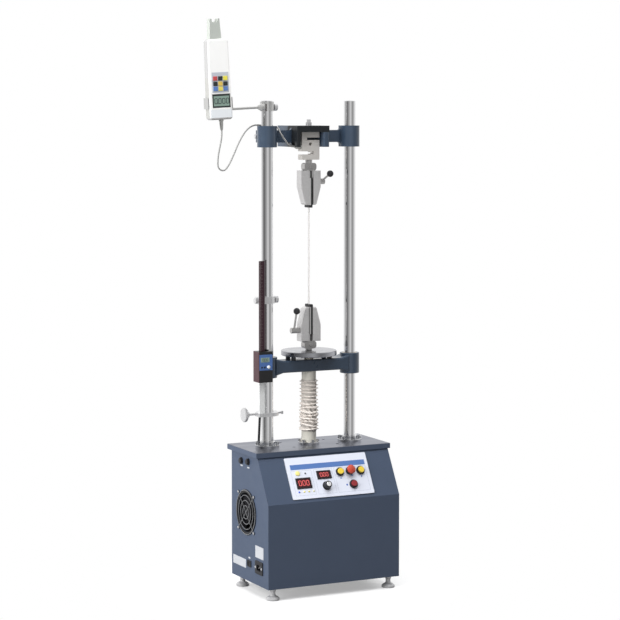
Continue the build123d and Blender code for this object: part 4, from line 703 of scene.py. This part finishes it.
# Bellows: cloth drawn over wire rings above, sunk into crumpled folds below
bellowsShape = {"low": 0.450, "high": 0.601, "radius": 0.0218, "least": 0.0205, "most": 0.0288,
                "wall": 0.0008, "around": 96, "rows": 420, "rings": 14, "ring": 0.0060, "ringWidth": 0.14,
                "looseBelow": 0.58, "looseOver": 0.25, "looseFrom": 0.06, "endsOver": 0.03,
                "sag": 0.020, "lean": 0.006, "crumple": 0.0013, "creases": 0.0006,
                "shadeColor": (0.300, 0.285, 0.262), "shade": 0.70, "shadeReach": (0.0208, 0.0236)}


# Sleeve about Z: radius = base + ring height * bell curve of the place between rings + crumpling waves. The
# numbers inside the sines are folds round the sleeve and along it, and the low folds, which hang loose, are
# wider and more crumpled
def bellowsSurface(shape):
    s = np.linspace(0, 1, shape["rows"])[:, None]
    a = np.linspace(0, wholeTurn, shape["around"], endpoint=False)[None, :]
    loose = np.clip((shape["looseBelow"] - s) / shape["looseOver"], 0, 1)
    loose = loose * np.clip(s / shape["looseFrom"], 0, 1)
    sag = shape["sag"] * loose * (np.sin(a + 9 * s) + 0.6 * np.sin(2 * a - 23 * s + 1))
    lean = shape["lean"] * np.sin(a - 40 * s)
    place = (shape["rings"] * (s + (sag + lean))) % 1.0
    width = shape["ringWidth"] * (1 + loose)
    ridge = np.exp(-((place - 0.5) / width) ** 2)
    crumple = shape["crumple"] * np.sin(5 * a + 31 * s) * np.sin(3 * a - 17 * s + 1)
    crumple = crumple + shape["creases"] * np.sin(11 * a + 70 * s)
    ends = np.clip(np.minimum(s, 1 - s) / shape["endsOver"], 0, 1)
    folds = shape["ring"] * ridge * (0.9 + 0.15 * loose) + crumple * (0.35 + 1.3 * loose)
    radius = np.clip(shape["radius"] + ends * folds, shape["least"], shape["most"])
    z = shape["low"] + (shape["high"] - shape["low"]) * (s + 0 * a)
    return np.stack([radius * np.cos(a), radius * np.sin(a), z], axis=-1)


tree = paints["bellowsCloth"]["tree"]
depth = distance(tree, objectVector(tree), (1, 1, 0))
# painted shade: the cloth's colour is darker in the folds
shade = remap(tree, depth, *bellowsShape["shadeReach"], bellowsShape["shade"], 0.0)      # darker in the folds
layOver(paints["bellowsCloth"], shade, bellowsShape["shadeColor"])
bellows = makePiece("bellowsSleeve", bellowsSurface(bellowsShape),
                    ringFaces(bellowsShape["rows"], bellowsShape["around"]).tolist(),
                    paints["bellowsCloth"]["material"])
wall = bellows.modifiers.new("wall", "SOLIDIFY")
wall.thickness = bellowsShape["wall"]
wall.offset = -1
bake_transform(bellows)
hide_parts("bellows")
print("bellows sewn")

# Film specimen held between the jaws: a flat section carried straight up
film = {"width": 0.011, "thickness": 0.0003, "low": 0.800, "high": 1.120, "rows": 41,
        "look": {"color": (0.66, 0.645, 0.635), "roughness": 0.3, "vary": 0.04}, "alpha": 0.85}
filmPaint = surfaceMaterial("clearFilm", film["look"])
filmPaint["shader"].inputs["Alpha"].default_value = film["alpha"]
steps = np.linspace(film["low"], film["high"], film["rows"])[:, None]
section = np.array([(-0.5, -0.5), (0.5, -0.5), (0.5, 0.5), (-0.5, 0.5)]) * (film["thickness"], film["width"])
filmPoints = np.stack(np.broadcast_arrays(*section.T, steps), axis=-1)
last = 4 * film["rows"] - 1
filmFaces = ringFaces(film["rows"], 4).tolist()
filmFaces += [[0, 3, 2, 1], [last - 3, last - 2, last - 1, last]]
specimen = makePiece("filmSpecimen", filmPoints, filmFaces, filmPaint["material"], False)
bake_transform(specimen)
print("film hung")

# Camera where the photographer stood
view = {"place": (-2.7525, -5.5612, 1.4046), "yaw": 26.366, "pitch": 3.891, "lens": 124.80, "shift": -0.10,
        "sensor": 36, "farthest": 50}
cameraData = bpy.data.cameras.new("photoCamera")
cameraData.lens = view["lens"]
cameraData.shift_y = view["shift"]
cameraData.sensor_width = view["sensor"]
cameraData.clip_end = view["farthest"]
camera = bpy.data.objects.new("photoCamera", cameraData)
camera.location = view["place"]
camera.rotation_euler = (math.radians(90 - view["pitch"]), 0, -math.radians(view["yaw"]))
bpy.context.collection.objects.link(camera)
bpy.context.scene.camera = camera

# Softboxes from the left, from above and from behind
softboxes = {
    "leftSoftbox": {"place": (-3.4, -0.3, 1.6), "aim": (0, 0, 0.7), "size": (3.2, 3.0), "power": 200},
    "topSoftbox": {"place": (-0.3, -0.9, 3.7), "aim": (0, -0.1, 0.6), "size": (3.4, 3.0), "power": 157},
    "backSoftbox": {"place": (2.6, 2.8, 1.9), "aim": (0, 0, 0.6), "size": (2.6, 2.6), "power": 110},
}
for name, lamp in softboxes.items():
    data = bpy.data.lights.new(name, "AREA")
    data.shape = "RECTANGLE"
    data.size, data.size_y = lamp["size"]
    data.energy = lamp["power"]
    light = bpy.data.objects.new(name, data)
    light.location = lamp["place"]
    light.visible_glossy = False      # metal sees the studio bands below instead
    aim = np.array(lamp["aim"]) - np.array(lamp["place"])
    light.rotation_euler = (math.atan2(math.hypot(aim[0], aim[1]), -aim[2]), 0, math.atan2(-aim[0], aim[1]))
    bpy.context.collection.objects.link(light)

# The studio as metal sees it: brightness by the direction's turn about Z, from the back round the left side,
# the front and the right side to the back
studio = {"diffuse": 0.2, "bands": [
    (0.0, 1.0), (0.083, 0.82), (0.153, 0.57), (0.208, 0.31), (0.256, 0.13), (0.292, 0.15), (0.333, 0.25),
    (0.381, 0.35), (0.417, 0.46), (0.458, 0.62), (0.486, 0.68), (0.522, 0.43), (0.575, 0.27), (0.631, 0.42),
    (0.689, 0.65), (0.764, 0.90), (0.861, 1.0), (1.0, 1.0)]}
world = bpy.data.worlds.new("studio")
bpy.context.scene.world = world
world.use_nodes = True
tree = world.node_tree
direction = tree.nodes.new("ShaderNodeTexCoord")
split = tree.nodes.new("ShaderNodeSeparateXYZ")
tree.links.new(direction.outputs["Generated"], split.inputs[0])
backwards = calculate(tree, "MULTIPLY", split.outputs["Y"], -1.0)
share = remap(tree, calculate(tree, "ARCTAN2", split.outputs["X"], backwards), -math.pi, math.pi, 0, 1)
ramp = tree.nodes.new("ShaderNodeValToRGB")
elements = ramp.color_ramp.elements
while len(elements) < len(studio["bands"]):
    elements.new(0.5)
for element, (position, level) in zip(elements, studio["bands"]):
    element.position = position
    element.color = (level, level, level, 1)
tree.links.new(share, ramp.inputs[0])
paths = tree.nodes.new("ShaderNodeLightPath")
plain = mixColor(tree, paths.outputs["Is Glossy Ray"], (studio["diffuse"],) * 3, ramp.outputs["Color"])
seen = calculate(tree, "MAXIMUM", paths.outputs["Is Camera Ray"], paths.outputs["Is Transmission Ray"])
tree.links.new(mixColor(tree, seen, plain, (1.0, 1.0, 1.0)), tree.nodes["Background"].inputs["Color"])

# Pale floor that fades into the white behind it
floorShape = {"radius": 2.6, "rings": 24, "around": 96, "innermost": 0.01, "color": (0.86, 0.86, 0.86),
              "roughness": 0.6, "specular": 0.2, "seenLevel": 0.97, "litLevel": 0.30,
              "fade": (0.25, 0.50), "leastFade": 0.35, "fadeMiddle": (-0.10, -0.04, 0)}
floorMaterial, tree, floorShader = newMaterial("paleFloor", floorShape["color"], floorShape["roughness"])
floorShader.inputs["Specular IOR Level"].default_value = floorShape["specular"]
glow = tree.nodes.new("ShaderNodeEmission")
glow.inputs["Color"].default_value = (1, 1, 1, 1)
away = distance(tree, objectVector(tree, place=floorShape["fadeMiddle"]))
floorSeen = tree.nodes.new("ShaderNodeLightPath").outputs["Is Camera Ray"]
fade = remap(tree, away, *floorShape["fade"], floorShape["leastFade"], 1)
fade = calculate(tree, "MULTIPLY", fade, floorSeen)
floorColor = mixColor(tree, floorSeen, (floorShape["litLevel"],) * 3, (floorShape["seenLevel"],) * 3)
tree.links.new(floorColor, floorShader.inputs["Base Color"])
fading = tree.nodes.new("ShaderNodeMixShader")
tree.links.new(fade, fading.inputs[0])
tree.links.new(floorShader.outputs[0], fading.inputs[1])
tree.links.new(glow.outputs[0], fading.inputs[2])
tree.links.new(fading.outputs[0], tree.nodes["Material Output"].inputs["Surface"])
radii = np.linspace(floorShape["innermost"], floorShape["radius"], floorShape["rings"])
floorRings = turnedRings(radii, np.zeros(floorShape["rings"]), floorShape["around"])
floorFaces = ringFaces(floorShape["rings"], floorShape["around"]).tolist()
floorFaces.append(list(range(floorShape["around"]))[::-1])
makePiece("floor", floorRings, floorFaces, floorMaterial)
print("studio set")

bpy.context.scene.view_settings.view_transform = "Standard"
